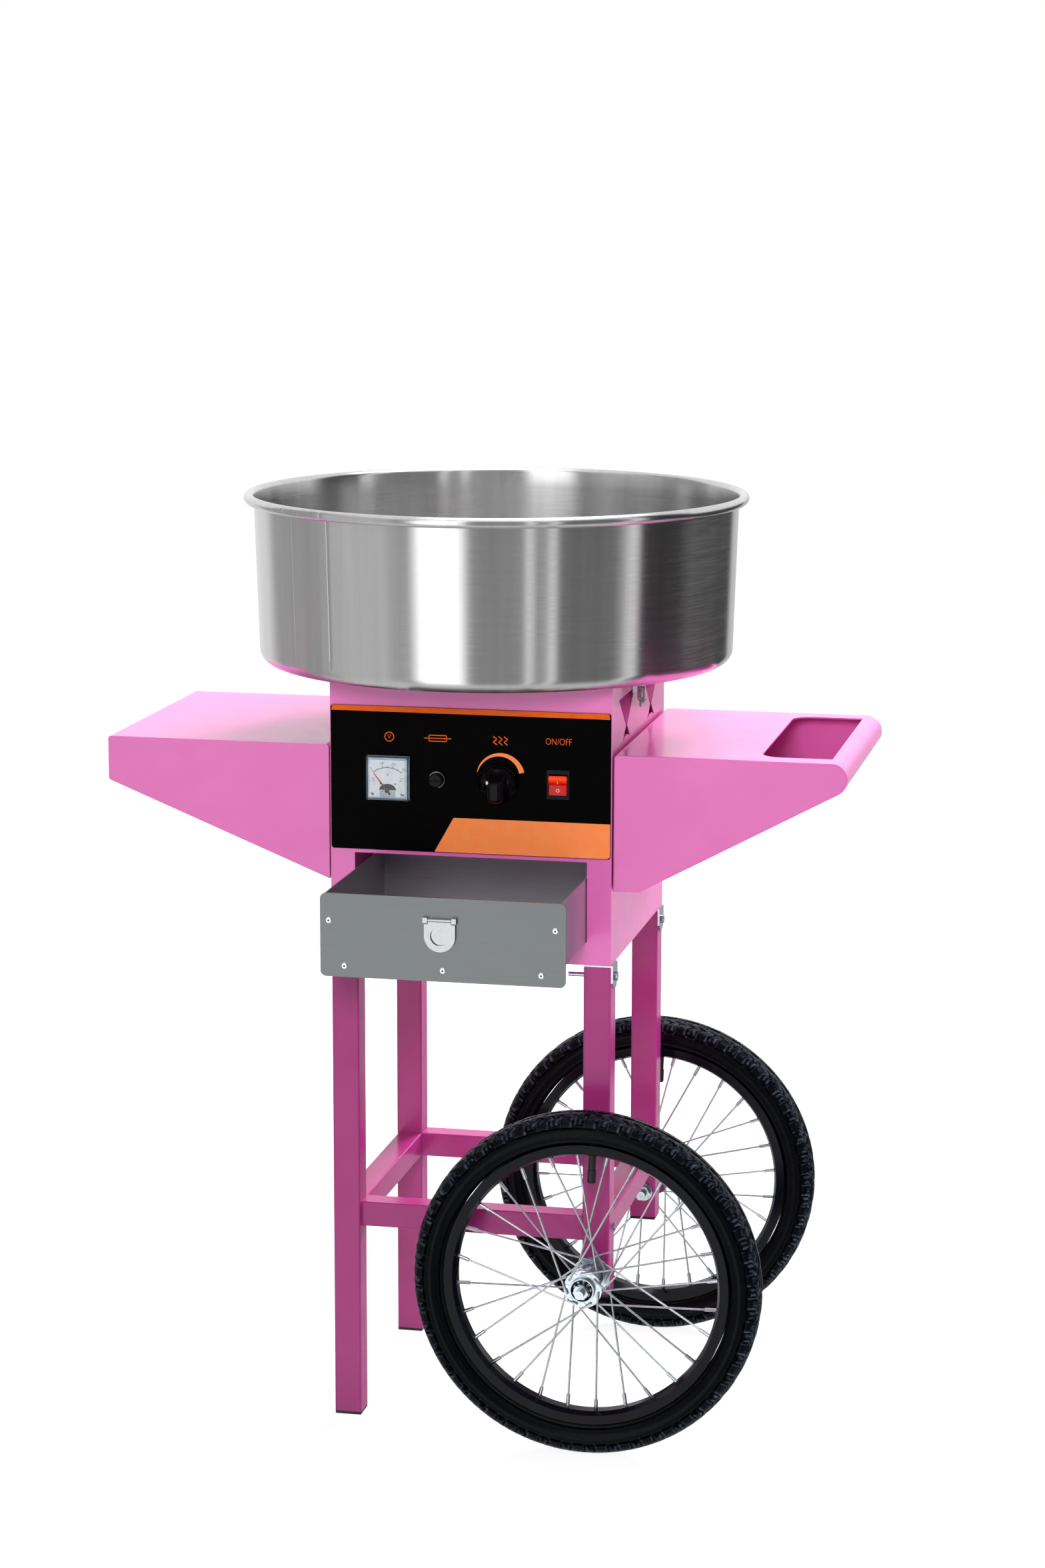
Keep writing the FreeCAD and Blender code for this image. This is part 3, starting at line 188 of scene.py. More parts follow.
def moulded(name, first, second, rough=(0.3, 0.45), grit=0.0008, depth=0.00001, level=0.5):
    """Moulded plastic or rubber: its colour varies little, and a fine spark-eroded grain breaks the gloss."""
    material, tree, shader = new_material(name, IOR=1.5, Specular_IOR_Level=level)
    two_tone(tree, shader, spread(tree, grain(tree, 0.012), 0, 1), first, second)
    tree.links.new(spread(tree, grain(tree, grit * 3), *rough), shader.inputs["Roughness"])
    bump(tree, shader, grain(tree, grit), depth)
    return material


def drawn_steel(name, first, second, rough, along, fine, depth, metallic=1.0):
    """Brushed sheet: lines along x, a few tens of millimetres long and under one apart."""
    material, tree, shader = new_material(name, Metallic=metallic)
    lines = grain(tree, 1.0, stretch=(along, fine, fine), detail=3.0, rough=0.6)
    two_tone(tree, shader, spread(tree, lines, 0, 1), first, second)
    tree.links.new(spread(tree, lines, *rough), shader.inputs["Roughness"])
    bump(tree, shader, lines, depth)
    return material


def spun_steel():
    """Spun stainless, brushed on the lathe: fine lines run round the bowl, so reflections stay
    sharp across it and are drawn out up and down it. Faint upright streaks are left by handling."""
    material, tree, shader = new_material("spun_stainless", Metallic=1.0, Anisotropic=0.95,
                                          Anisotropic_Rotation=0.25)
    rings = grain(tree, 1.0, stretch=(0.05, 0.05, 0.0012), detail=3.0, rough=0.6)
    streaks = grain(tree, 1.0, stretch=(0.012, 0.012, 0.5), detail=2.0)
    two_tone(tree, shader, spread(tree, streaks, 0, 1), "#CDCDCE", "#D6D6D5")
    tree.links.new(spread(tree, rings, 0.19, 0.25), shader.inputs["Roughness"])
    bump(tree, shader, rings, 0.0000004)
    tangent = add(tree, "ShaderNodeTangent", direction_type="RADIAL", axis="Z")
    tree.links.new(tangent.outputs["Tangent"], shader.inputs["Tangent"])
    return material


def clear_plastic():
    """Moulded clear polystyrene, polished: a faint blue tint and a slight haze in patches."""
    material, tree, shader = new_material("clear_polystyrene", IOR=1.49, Transmission_Weight=1.0)
    two_tone(tree, shader, spread(tree, grain(tree, 0.01), 0, 1), "#F4F8FC", "#FFFFFF")
    tree.links.new(spread(tree, grain(tree, 0.004), 0.0, 0.04), shader.inputs["Roughness"])
    return material


def lit_red():
    """Translucent red acrylic. It glows a little, which is painted light, and it is deep red in its lower
    half and turns orange-red towards its top, painted light falling on its upper face."""
    material, tree, shader = new_material("red_acrylic_painted_light", IOR=1.49, Coat_Weight=0.15, Coat_Roughness=0.05,
                                          Specular_IOR_Level=0.2, Emission_Strength=0.35)
    low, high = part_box("switch_rocker")
    height = add(tree, "ShaderNodeSeparateXYZ", {0: object_place(tree)}).outputs["Z"]
    # Painted light: orange-red over the upper half, as if lit from above.
    up = mapped(tree, height, (low.z + high.z) / 2 + 0.001, high.z - 0.003)
    cloud = calc(tree, "ADD", up, spread(tree, grain(tree, 0.003), -0.08, 0.08))
    two_tone(tree, shader, cloud, "#A80402", "#FF4A1C")
    # Painted glow: the colour is also given out as light.
    tree.links.new(shader.inputs["Base Color"].links[0].from_socket, shader.inputs["Emission Color"])
    tree.links.new(spread(tree, grain(tree, 0.002), 0.1, 0.2), shader.inputs["Roughness"])
    return material


def lacquered_needle():
    """The meter's needle: red lacquer on its outer half, black nearer its pivot."""
    material, tree, shader = new_material("needle_lacquer", IOR=1.5, Roughness=0.3)
    pivot = (METER_X * MM, FACE_Y - NEEDLE_AHEAD, METER_PIVOT_Z * MM)
    reach = add(tree, "ShaderNodeVectorMath", {0: object_place(tree), 1: pivot}, operation="DISTANCE")
    outer = mapped(tree, reach.outputs["Value"], RED_FROM, RED_FULL)
    speck = calc(tree, "ADD", outer, spread(tree, grain(tree, 0.001), -0.05, 0.05))
    two_tone(tree, shader, speck, "#1A1013", "#D8181C")
    return material


def tyre_rubber():
    """Black rubber with a painted blue-grey highlight along the edges of the lugs, in patches, where a point
    attribute marks them.
    """
    material = moulded("tyre_tread_rubber", "#020308", "#04060C", rough=(0.24, 0.34), grit=0.0012,
                       depth=0.00003, level=0.08)
    tree = material.node_tree
    shader = next(node for node in tree.nodes if node.type == "BSDF_PRINCIPLED")
    black = shader.inputs["Base Color"].links[0].from_socket
    lug_edge_painted_highlight = add(tree, "ShaderNodeAttribute", attribute_name="lug_edge_painted_highlight").outputs["Fac"]
    # Painted highlight: blue-grey mixed into the black where the attribute marks the lugs' edges.
    patchy_painted_highlight = calc(tree, "MULTIPLY", lug_edge_painted_highlight, spread(tree, grain(tree, 0.006), -0.1, 0.8))
    tree.links.new(mixed(tree, patchy_painted_highlight, black, linear("#5C6675"), "RGBA"), shader.inputs["Base Color"])
    return material


PINK = powder_coat("pink_powder_coat", "#DB63B0", "#DF6BB6")
# The legs and stretchers have the cabinet's pink; this darker copy of it is painted shade.
FRAME_PINK_PAINTED_SHADE = powder_coat("frame_powder_coat_painted_shade", "#A02E75", "#A7367B", coat=0.05, level=0.28)
PANEL_BLACK = moulded("panel_film_black", "#010101", "#020202", rough=(0.3, 0.4), grit=0.0004,
                      depth=0.000001, level=0.02)
ZINC = plated_zinc("bright_zinc", "#ABB4BC", "#BCC4CB")
SPOKE_WIRE = plated_zinc("zinc_spoke_wire", "#C4CBD2", "#DCE2E6", rough=(0.16, 0.26))
NICKEL = plated_zinc("polished_nickel", "#9FA1A3", "#A6A8AA", rough=(0.14, 0.18))
RIM_BLACK = powder_coat("gloss_black_enamel", "#05060E", "#080A14", rough=(0.12, 0.2), coat=0.05, level=0.08)
RUBBER = moulded("moulded_rubber", "#05060C", "#090B13", rough=(0.3, 0.44), grit=0.0012, depth=0.00003,
                 level=0.15)
TYRE_RUBBER = tyre_rubber()
SOFT_RUBBER = moulded("soft_rubber", "#141416", "#1D1D20", rough=(0.5, 0.65))
BLACK_PLASTIC = moulded("black_nylon", "#0B0A0D", "#121014", rough=(0.18, 0.3), level=0.22)
BAKELITE = moulded("black_phenolic", "#030205", "#060408", rough=(0.06, 0.12), grit=0.002,
                   depth=0.000001, level=0.1)
DRAWER_STEEL = drawn_steel("satin_sheet_steel", "#7D8182", "#838788", (0.4, 0.48), 0.05, 0.0006, 0.000001)
SHEET_STEEL = drawn_steel("dulled_sheet_steel", "#A9A6AE", "#B7B4BB", (0.3, 0.38), 0.05, 0.0006, 0.000001,
                          metallic=0.8)
BOWL_STEEL = spun_steel()
SHAFT_STEEL = drawn_steel("turned_steel", "#B4B5B6", "#C6C7C8", (0.2, 0.32), 0.02, 0.0004, 0.000002)
ALUMINIUM = drawn_steel("turned_aluminium", "#D2D3D4", "#E2E3E4", (0.22, 0.36), 0.02, 0.0004, 0.000003)
RIVET_ALUMINIUM = plated_zinc("rivet_aluminium", "#DCDDDE", "#EDEEEF", rough=(0.24, 0.36))
CERAMIC = moulded("fired_ceramic", "#D6CDBB", "#E4DCCB", rough=(0.5, 0.65), grit=0.0006)
MOTOR_ENAMEL = moulded("motor_enamel", "#1B1C20", "#26272C", rough=(0.3, 0.45), grit=0.001)
NEEDLE_RED = lacquered_needle()
DIAL_WHITE = moulded("dial_card", "#E9EDF2", "#F5F8FB", rough=(0.45, 0.55), grit=0.0005, depth=0.000003)
CLEAR = clear_plastic()
RED_ACRYLIC_PAINTED_LIGHT = lit_red()
ORANGE_INK = moulded("orange_screen_ink", "#FF8A4B", "#FF9254", rough=(0.35, 0.45), grit=0.0006,
                     depth=0.000001, level=0.15)
DEEP_ORANGE_INK = moulded("deep_orange_ink", "#DC5A17", "#E3631F", rough=(0.35, 0.45), grit=0.0006,
                          depth=0.000001, level=0.15)
PRINT_BLACK = moulded("black_print", "#11161E", "#1B222C", rough=(0.5, 0.6), level=0.2)
COIL_GREY = moulded("coil_grey_print", "#7D8088", "#95989F", rough=(0.4, 0.5), level=0.3)
# Rivet stems, dark as painted shade in the rivets' holes.
STEM_STEEL_PAINTED_SHADE = plated_zinc("rivet_stem_painted_shade", "#2C2C30", "#3C3C40", rough=(0.35, 0.45))
DOT_WHITE = moulded("white_paint_fill", "#F1F1F1", "#FAFAFA", rough=(0.3, 0.4))
# The meter's body is made pale and bluish so the clear cover's edges look bright: a painted reflection.
METER_PALE_PAINTED_REFLECTION = moulded("pale_styrene_painted_reflection", "#AFC4D8", "#C2D4E6", rough=(0.2, 0.3))
BEZEL_BLACK = moulded("switch_bezel_nylon", "#0C0713", "#130C1C", rough=(0.3, 0.4), level=0.12)

FINISHES = (
    (PINK, "cabinet_shell cabinet_floor cabinet_top rear_cover drawer_runners left_shelf right_shelf"),
    (FRAME_PINK_PAINTED_SHADE, "leg_front_left leg_rear_left leg_front_right leg_rear_right "
                 "stretcher_front stretcher_rear stretcher_left stretcher_right"),
    (PANEL_BLACK, "control_panel"),
    (ZINC, "cabinet_screws leg_brackets frame_screws wheel_axles axle_hardware front_hub rear_hub "
           "clip_bases clip_lever_left clip_lever_right clip_bail_left clip_bail_right"),
    (NICKEL, "latch_base latch_flap"),
    (SPOKE_WIRE, "front_spokes rear_spokes"),
    (RIM_BLACK, "front_rim rear_rim"),
    (RUBBER, "front_tyre rear_tyre"),
    (SOFT_RUBBER, "front_inner_tube rear_inner_tube motor_mounts"),
    (BLACK_PLASTIC, "cord_gland leg_plugs dimmer_body brush_holder"),
    (BEZEL_BLACK, "switch_body"),
    (METER_PALE_PAINTED_REFLECTION, "meter_body"),
    (BAKELITE, "fuse_holder fuse_cap temperature_knob"),
    (DRAWER_STEEL, "drawer_front"),
    (SHEET_STEEL, "drawer_box"),
    (RIVET_ALUMINIUM, "drawer_rivets"),
    (SHAFT_STEEL, "motor_shaft"),
    (ALUMINIUM, "spinner_head"),
    (CERAMIC, "heater_ring"),
    (MOTOR_ENAMEL, "motor_body"),
    (NEEDLE_RED, "meter_needle"),
    (DIAL_WHITE, "meter_dial"),
    (CLEAR, "meter_cover"),
    (RED_ACRYLIC_PAINTED_LIGHT, "switch_rocker"),
)


def finish_nodes():
    """Puts each finish on the nodes that have it."""
    for material, names in FINISHES:
        for name in names.split():
            mesh = NODES[name].data
            mesh.materials.clear()
            mesh.materials.append(material)


def grid_faces(rows, columns, wrap_rows, wrap_columns):
    """Quads over a grid of points numbered row by row; wrapping joins the last row or column to the first."""
    i = np.arange(rows if wrap_rows else rows - 1)[:, None]
    j = np.arange(columns if wrap_columns else columns - 1)[None, :]
    below = (i + 1) % rows
    right = (j + 1) % columns
    corners = [i * columns + j, below * columns + j, below * columns + right, i * columns + right]
    return np.stack([np.broadcast_to(c, (i.shape[0], j.shape[1])) for c in corners], -1).reshape(-1, 4)


def grid_surface(points, wrap_rows=False, wrap_columns=False):
    """Points of a grid (rows, columns, 3) as a pair of vertices and quads."""
    rows, columns = points.shape[:2]
    return points.reshape(-1, 3), grid_faces(rows, columns, wrap_rows, wrap_columns).tolist()


def swept(points):
    """A closed outline carried along a path: the rows of a grid (rows, columns, 3) run round the
    outline and its columns along the path. Both ends are capped."""
    rows, columns = points.shape[:2]
    sides = grid_faces(rows, columns, True, False).tolist()
    ends = np.arange(rows) * columns
    return points.reshape(-1, 3), sides + [ends.tolist(), (ends + columns - 1).tolist()]


def joined(*parts):
    """Several (vertices, faces) pairs as one."""
    offsets = np.cumsum([0] + [len(v) for v, _ in parts])
    faces = [[corner + o for corner in face] for (_, group), o in zip(parts, offsets) for face in group]
    return np.concatenate([v for v, _ in parts]), faces


def drawn(x, y, z):
    """Drawn millimetres, whose y is measured from the cabinet's middle, as points in metres."""
    x, y, z = np.broadcast_arrays(np.asarray(x, float), np.asarray(y, float), np.asarray(z, float))
    return np.stack([x, y, z], -1) * MM + np.array([0, MID_Y, 0])


def block(x0, x1, y0, y1, z0, z1):
    """A box from its drawn millimetres."""
    section = np.array([(y0, z0), (y1, z0), (y1, z1), (y0, z1)])
    return swept(np.stack([drawn(np.full(4, x), *section.T) for x in (x0, x1)], 1))


def rod(x, z, radius, sides, y0, y1):
    """A round rod along y, from drawn millimetres."""
    turn = np.linspace(0, TURN, sides, endpoint=False)
    ring_x, ring_z = x + radius * np.cos(turn), z + radius * np.sin(turn)
    return swept(np.stack([drawn(ring_x, y, ring_z) for y in (y0, y1)], 1))


def print_on(first, second, y_front, y_back):
    """A print between two lines of (x, z) points, as thin as ink is: rows front, front, back, back."""
    first, second = np.asarray(first, float), np.asarray(second, float)
    rows = [(first, y_front), (second, y_front), (second, y_back), (first, y_back)]
    return swept(np.stack([drawn(line[:, 0], y, line[:, 1]) for line, y in rows]))


def stroke(points, width, y_front, y_back):
    """A printed line of even width along (x, z) points: each point moves half the width to both
    sides, square to the path."""
    points = np.asarray(points, float)
    along = np.gradient(points, axis=0)
    across = np.stack([-along[:, 1], along[:, 0]], -1)
    across *= width / 2 / np.linalg.norm(across, axis=1, keepdims=True)
    return print_on(points - across, points + across, y_front, y_back)


def lettering(text, height, place, right=(1, 0, 0), up=(0, 0, 1), thick=0.06):
    """Raised letters as (vertices, faces): the middle of the word at a drawn place in millimetres,
    its line running along right and its letters standing along up."""
    curve = bpy.data.curves.new("lettering", "FONT")
    curve.body = text
    curve.size = 1.0
    curve.align_x = "CENTER"
    curve.align_y = "CENTER"
    curve.extrude = 0.5
    curve.offset = -0.012
    words = bpy.data.objects.new("lettering", curve)
    bpy.context.scene.collection.objects.link(words)
    bpy.context.view_layer.update()
    mesh = bpy.data.meshes.new_from_object(words.evaluated_get(bpy.context.evaluated_depsgraph_get()))
    points = np.zeros(len(mesh.vertices) * 3)
    mesh.vertices.foreach_get("co", points)
    points = points.reshape(-1, 3)
    faces = [list(face.vertices) for face in mesh.polygons]
    bpy.data.objects.remove(words)
    bpy.data.meshes.remove(mesh)
    right, up = np.array(right, float), np.array(up, float)
    flat = (points[:, 0:1] * right + points[:, 1:2] * up) * (height / CAP_HEIGHT)
    return (flat + points[:, 2:3] * np.cross(right, up) * thick) * MM + drawn(*place), faces


def piece(name, shape, material, body, replaces=(), sharp=35.0):
    """A mesh piece from vertices and faces: doubles merged, normals turned outwards, smooth but for
    edges sharper than an angle in degrees. It rides on a body and may stand for CAD nodes."""
    vertices, faces = shape
    mesh = bpy.data.meshes.new(name)
    mesh.from_pydata(vertices.tolist(), [], [list(face) for face in faces])
    work = bmesh.new()
    work.from_mesh(mesh)
    bmesh.ops.remove_doubles(work, verts=work.verts, dist=1e-6)
    bmesh.ops.dissolve_degenerate(work, edges=work.edges, dist=1e-7)
    bmesh.ops.recalc_face_normals(work, faces=work.faces)
    work.to_mesh(mesh)
    work.free()
    mesh.polygons.foreach_set("use_smooth", [True] * len(mesh.polygons))
    mesh.set_sharp_from_angle(angle=math.radians(sharp))
    mesh.materials.append(material)
    made = bpy.data.objects.new(name, mesh)
    bpy.context.scene.collection.objects.link(made)
    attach(made, body)
    if replaces:
        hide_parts(*replaces)
    return made


def arc(centre, radius, start, end, steps):
    """Points on an arc, angles in degrees."""
    angle = np.radians(np.linspace(start, end, steps))
    return list(zip(centre[0] + radius * np.cos(angle), centre[1] + radius * np.sin(angle)))


def ramp(value, start, end):
    """0 before start, 1 after end, straight between."""
    return np.clip((value - start) / (end - start), 0, 1)


def eased(value):
    """A value of 0 to 1 that leaves 0 and meets 1 softly."""
    return value * value * (3 - 2 * value)


# The tyre's section, in millimetres and in degrees round the section
TYRE_HALF = 21.8
TYRE_WIDE_R = 158.5
TYRE_FALL = 12.6
BEAD_ANGLE = 133.0
TREAD_BLUNT = 2.6
SIDE_BLUNT = 2.2
RIDGE = (112, 113.5, 115, 116.5)
RIDGE_HEIGHT = 0.5
LINING_HALF = 17.6
LINING_FALL = 15.0
LINING_ANGLE = 128
LINING_UNDER = 2

# Its tread: where each row of lugs starts and ends from the middle, in degrees round the section
TREAD_PITCHES = 44
TREAD_DEPTH = 3.0
MIDDLE_ROW = (2.6, 16.4)
INNER_ROW = (15.6, 30.4)
LONG_LUGS = (29.6, 73.0)
SHORT_LUGS = (29.6, 64.0)
LUG_NOTCH = (29.0, 53.0)
STEEP = 0.8
TREAD_FADE = (70.0, 82.0)
SLANT = 0.22
SLANT_TO = 40


def tyre(name, node, body):
    """The tyre as one closed surface: round the wheel go the columns, and round the section the rows.
    The section is a superellipse, t = a sin^k, r = r0 + b cos^k, blunter over the tread. Grooves are
    cut into it along its normal: a lug's height is the product of straight ramps along the tread
    pitch and across the section. The columns lie on the edges of the lugs and are sheared to make
    them slant, and the left half is half a pitch on."""
    low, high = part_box(node)
    centre = np.array((low + high) / 2)
    crown = (high.z - low.z) / 2 / MM
    edges = np.array([0, 2.6, 3.4, 9, 15.6, 16.4, 19, 24, 29.6, 30.4, 33, 38, 43, 48, 53, 58, 60.5, 64, 68,
                      71, 73, 77, 82, 90, 98, 106, 112, 113.5, 115, 116.5, 121, 127, BEAD_ANGLE])
    section = np.radians(np.concatenate([-edges[:0:-1], edges]))
    blunt = 2 / np.where(np.abs(section) < math.pi / 2, TREAD_BLUNT, SIDE_BLUNT)
    side, up = np.sin(section), np.cos(section)
    t = TYRE_HALF * np.sign(side) * np.abs(side) ** blunt
    r = TYRE_WIDE_R + np.where(up > 0, crown - TYRE_WIDE_R, TYRE_FALL) * np.sign(up) * np.abs(up) ** blunt
    normal = np.stack([np.gradient(r), -np.gradient(t)], -1)
    normal /= -np.linalg.norm(normal, axis=1, keepdims=True)
    steps = np.array([0, 0.02, 0.05, 0.16, 0.27, 0.3, 0.33, 0.44, 0.5, 0.53, 0.56, 0.66, 0.76, 0.79, 0.82,
                      0.92, 0.97])
    turn = (np.arange(TREAD_PITCHES)[:, None] + steps[None, :]).reshape(1, -1)
    phase = turn % 1.0
    across = np.degrees(section)[:, None]
    far = np.abs(across)

    def lug(start, end, near, out, soft=0.03, lean=2.4):
        along = ramp(phase, start - 1e-9, start + soft) * (1 - ramp(phase, end - soft, end + 1e-9))
        return along * ramp(far, near, near + 0.8) * (1 - ramp(far, out - lean, out))

    left = across < 0
    middle = np.maximum(lug(0.0, 0.53, *MIDDLE_ROW, lean=STEEP),
                        lug(0.53, 1.0, *MIDDLE_ROW, lean=STEEP) * 0.9)
    inner = np.maximum(lug(0.02, 0.3, *INNER_ROW, lean=STEEP), lug(0.5, 0.79, *INNER_ROW, lean=STEEP))
    long_lug = lug(0.02, 0.56, *LONG_LUGS) * (1 - 0.6 * lug(0.27, 0.33, *LUG_NOTCH, soft=0.01))
    short_lug = lug(0.56, 0.97, *SHORT_LUGS)
    height = np.maximum.reduce([middle, inner, long_lug, short_lug])
    tread_zone = 1 - ramp(far, *TREAD_FADE)
    ridge = RIDGE_HEIGHT * ramp(far, *RIDGE[:2]) * (1 - ramp(far, *RIDGE[2:]))
    cut = TREAD_DEPTH * tread_zone * (1 - height) - ridge
    wave = SLANT * np.sin(np.radians(far) * 9) * (far < SLANT_TO) + 0.5 * left
    angle = TURN * (turn + wave) / TREAD_PITCHES
    radius = r[:, None] - cut * normal[:, 1:2]
    offset = t[:, None] - cut * normal[:, 0:1]
    inside = np.radians(np.linspace(LINING_ANGLE, -LINING_ANGLE, 24))
    rise = np.where(np.cos(inside) > 0, crown - TREAD_DEPTH - LINING_UNDER - TYRE_WIDE_R, LINING_FALL)
    lining_r = TYRE_WIDE_R + rise * np.cos(inside)
    lining_t = LINING_HALF * np.sin(inside)
    flat = np.ones_like(turn)
    radius = np.concatenate([radius, lining_r[:, None] * flat])
    offset = np.concatenate([offset, lining_t[:, None] * flat])
    angle = np.concatenate([angle, TURN * turn / TREAD_PITCHES * np.ones((len(inside), 1))])
    points = np.stack([radius * np.cos(angle), offset, radius * np.sin(angle)], -1) * MM + centre
    made = piece(name, grid_surface(points, wrap_rows=True, wrap_columns=True), TYRE_RUBBER, body,
                 (node,), sharp=40)
    # A painted highlight on the edges of the lugs, where the tread's height steps, kept as a point attribute
    # for the rubber.
    edge = np.abs(np.roll(height, 1, axis=1) - height) + np.abs(np.roll(height, -1, axis=1) - height)
    lug_edge_painted_highlight = np.zeros(radius.shape)
    lug_edge_painted_highlight[:len(section)] = tread_zone * height * np.clip(edge, 0, 1) ** 1.5
    made.data.attributes.new("lug_edge_painted_highlight", "FLOAT", "POINT").data.foreach_set("value", lug_edge_painted_highlight.ravel())
    return made


# The bowl, in drawn millimetres; a seam's place and half width are in degrees round the bowl
BOWL_FLOOR_Z = 780.3
BOWL_CORNER = 13.5
BOWL_SHEET = 1.0
BEAD_R = 5.2
BEAD_JOIN = 3.6
WALL_IN_LOW = 15.1
WALL_IN_TOP = 10.2
BOWL_HOLE_R = 80.0
COLLAR_TOP_Z = 806.3
BOWL_SEAMS = (-132.5, -119.8)
SEAM_HALF = 0.1
SEAM_DEPTH = 0.25
HOOK_X = (151.6, 152.8, 157.0)
HOOK_Y = (-40, -28)
HOOK_Z = (772.3, 773.5, 780.8)


def bowl_profile(rim_r, top_z):
    """The bowl's wall as a closed outline of (radius, height): floor, rounded corner, wall leaning
    out a little, rolled bead, and back down inside to the collar round the hole."""
    wall_low = rim_r - WALL_IN_LOW
    wall_top = rim_r - WALL_IN_TOP
    bead_z = top_z - BEAD_R
    floor_z = BOWL_FLOOR_Z
    corner_at = (wall_low - BOWL_CORNER, floor_z + BOWL_CORNER)
    rise = np.array([0, 0.02, 0.08, 0.25, 0.5, 0.75, 0.92, 1.0])
    wall = np.stack([wall_low + (wall_top - wall_low) * rise,
                     corner_at[1] + (bead_z - BEAD_JOIN - corner_at[1]) * rise], -1)
    lining = wall[::-1] - (BOWL_SHEET, 0)
    floor_r = np.array([BOWL_HOLE_R + 2, BOWL_HOLE_R + 30, BOWL_HOLE_R + 80, corner_at[0] - 1])
    under = np.stack([floor_r, np.full(4, floor_z)], -1)
    over = np.stack([floor_r[::-1], np.full(4, floor_z + BOWL_SHEET)], -1)
    collar = [(BOWL_HOLE_R + 1.3, floor_z + 2.5), (BOWL_HOLE_R + 1, COLLAR_TOP_Z - 0.6),
              (BOWL_HOLE_R + 0.5, COLLAR_TOP_Z), (BOWL_HOLE_R, COLLAR_TOP_Z - 0.6),
              (BOWL_HOLE_R, floor_z + 2)]
    bead = arc((rim_r - BEAD_R, bead_z), BEAD_R, -135, 180, 30)
    parts = [under, arc(corner_at, BOWL_CORNER, -86, -4, 10), wall, bead, lining,
             arc(corner_at, BOWL_CORNER - BOWL_SHEET, -4, -86, 10), over, collar]
    return np.concatenate([np.asarray(part, float) for part in parts]) * MM


def bowl():
    """The spun bowl: its profile turned round the axis, its two upright seams pressed in by a
    fraction of a millimetre, and the two hooks under its floor."""
    rim_r = (BOWL_HIGH.x - BOWL_LOW.x) / 2 / MM
    profile = bowl_profile(rim_r, BOWL_HIGH.z / MM)
    steps = np.concatenate([np.linspace(0, 360, 240, endpoint=False)]
                           + [seam + np.array([-0.14, -0.07, 0, 0.07, 0.14]) + 360 for seam in BOWL_SEAMS])
    steps = np.unique(np.round(steps, 3))
    angle = np.radians(steps)[None, :]
    away = np.min([np.abs(steps - 360 - seam) for seam in BOWL_SEAMS], axis=0)
    press = SEAM_DEPTH * MM * np.clip(1 - away / SEAM_HALF, 0, 1)[None, :]
    r, z = profile[:, 0:1], profile[:, 1:2]
    r = r - press * (z > (BOWL_FLOOR_Z + BOWL_CORNER) * MM)
    points = np.stack([r * np.cos(angle) + BOWL_X, r * np.sin(angle) + MID_Y, z + 0 * angle], -1)
    shell = grid_surface(points, wrap_rows=True, wrap_columns=True)
    near, far, toe = HOOK_X
    low, foot, top = HOOK_Z
    hooks = []
    for side in (-1, 1):
        hooks.append(block(side * near, side * far, *HOOK_Y, low, top))
        hooks.append(block(side * near, side * toe, *HOOK_Y, low, foot))
    return piece("bowl_shell", joined(shell, *hooks), BOWL_STEEL, "bowl", ("bowl",), sharp=50)


# The control panel's prints and fittings, in drawn millimetres; places on it are (x, z)
FACE = (FACE_Y - MID_Y) / MM
PRINT_Y = (FACE - 0.08, FACE + 0.02)
TOP_STRIP = ([(-143.2, 745.3), (143.2, 745.3)], [(-142.0, 750.8), (142.0, 750.8)])
FIELD = ([(-36.6, 604.0), (141.0, 604.0), (143.6, 606.2)], [(-16.7, 639.5), (141.0, 639.5), (143.6, 639.5)])
SWELL_XZ = (31.5, 682.6)
SWELL_FROM = 169
SWELL_TO = 14
LABEL_Z = 720.0
METER_LABEL_X = -83.0
FUSE_LABEL_X = -33.0
HEAT_LABEL_X = 31.5
SWITCH_LABEL_X = 91.0
MARK_LINE = 0.9
FUSE_XZ = (-33.5, 678.3)
FERRULE_R = 7.9
FERRULE_WIRE = 0.45
FERRULE_Y = -154.0
SCREW_R = 1.9
SCREW_OUT = 15.5
SCREW_Z = 662
SCREW_Y = -156.2
SCREW_DOME = 0.6
SCREW_ROOT_Y = -156.0
SLOT_HALF = 1.5
SLOT_Y = (-156.9, -156.4)
RIVETS = ((-115.2, 555.5), (-99.5, 510.2), (-0.1, 510.2), (98.7, 510.2), (112.6, 555.5))
RIVET_FACE_Y = -272.95
RIVET_ROOT_Y = -270.0
MANDREL_R = 1.05


def panel_prints():
    """The orange prints: a strip along the top edge, a slanted field at the lower right and the
    arc over the knob, which grows from 0.4 mm to 5.4 mm."""
    turn = np.radians(np.linspace(SWELL_FROM, SWELL_TO, 48))
    grow = np.linspace(0, 1, 48)[:, None]
    way = np.stack([np.cos(turn), np.sin(turn)], -1)
    centre = np.array(SWELL_XZ)
    swell = print_on(centre + way * (24.2 - 4.4 * grow ** 0.7), centre + way * (24.6 + 0.6 * grow), *PRINT_Y)
    field = print_on(*FIELD, *PRINT_Y)
    piece("panel_orange_print", joined(field, swell), ORANGE_INK, "cart")
    # The top strip is printed in the deeper orange of the marks, darker than the field below it.
    piece("panel_top_strip", print_on(*TOP_STRIP, *PRINT_Y), DEEP_ORANGE_INK, "cart")


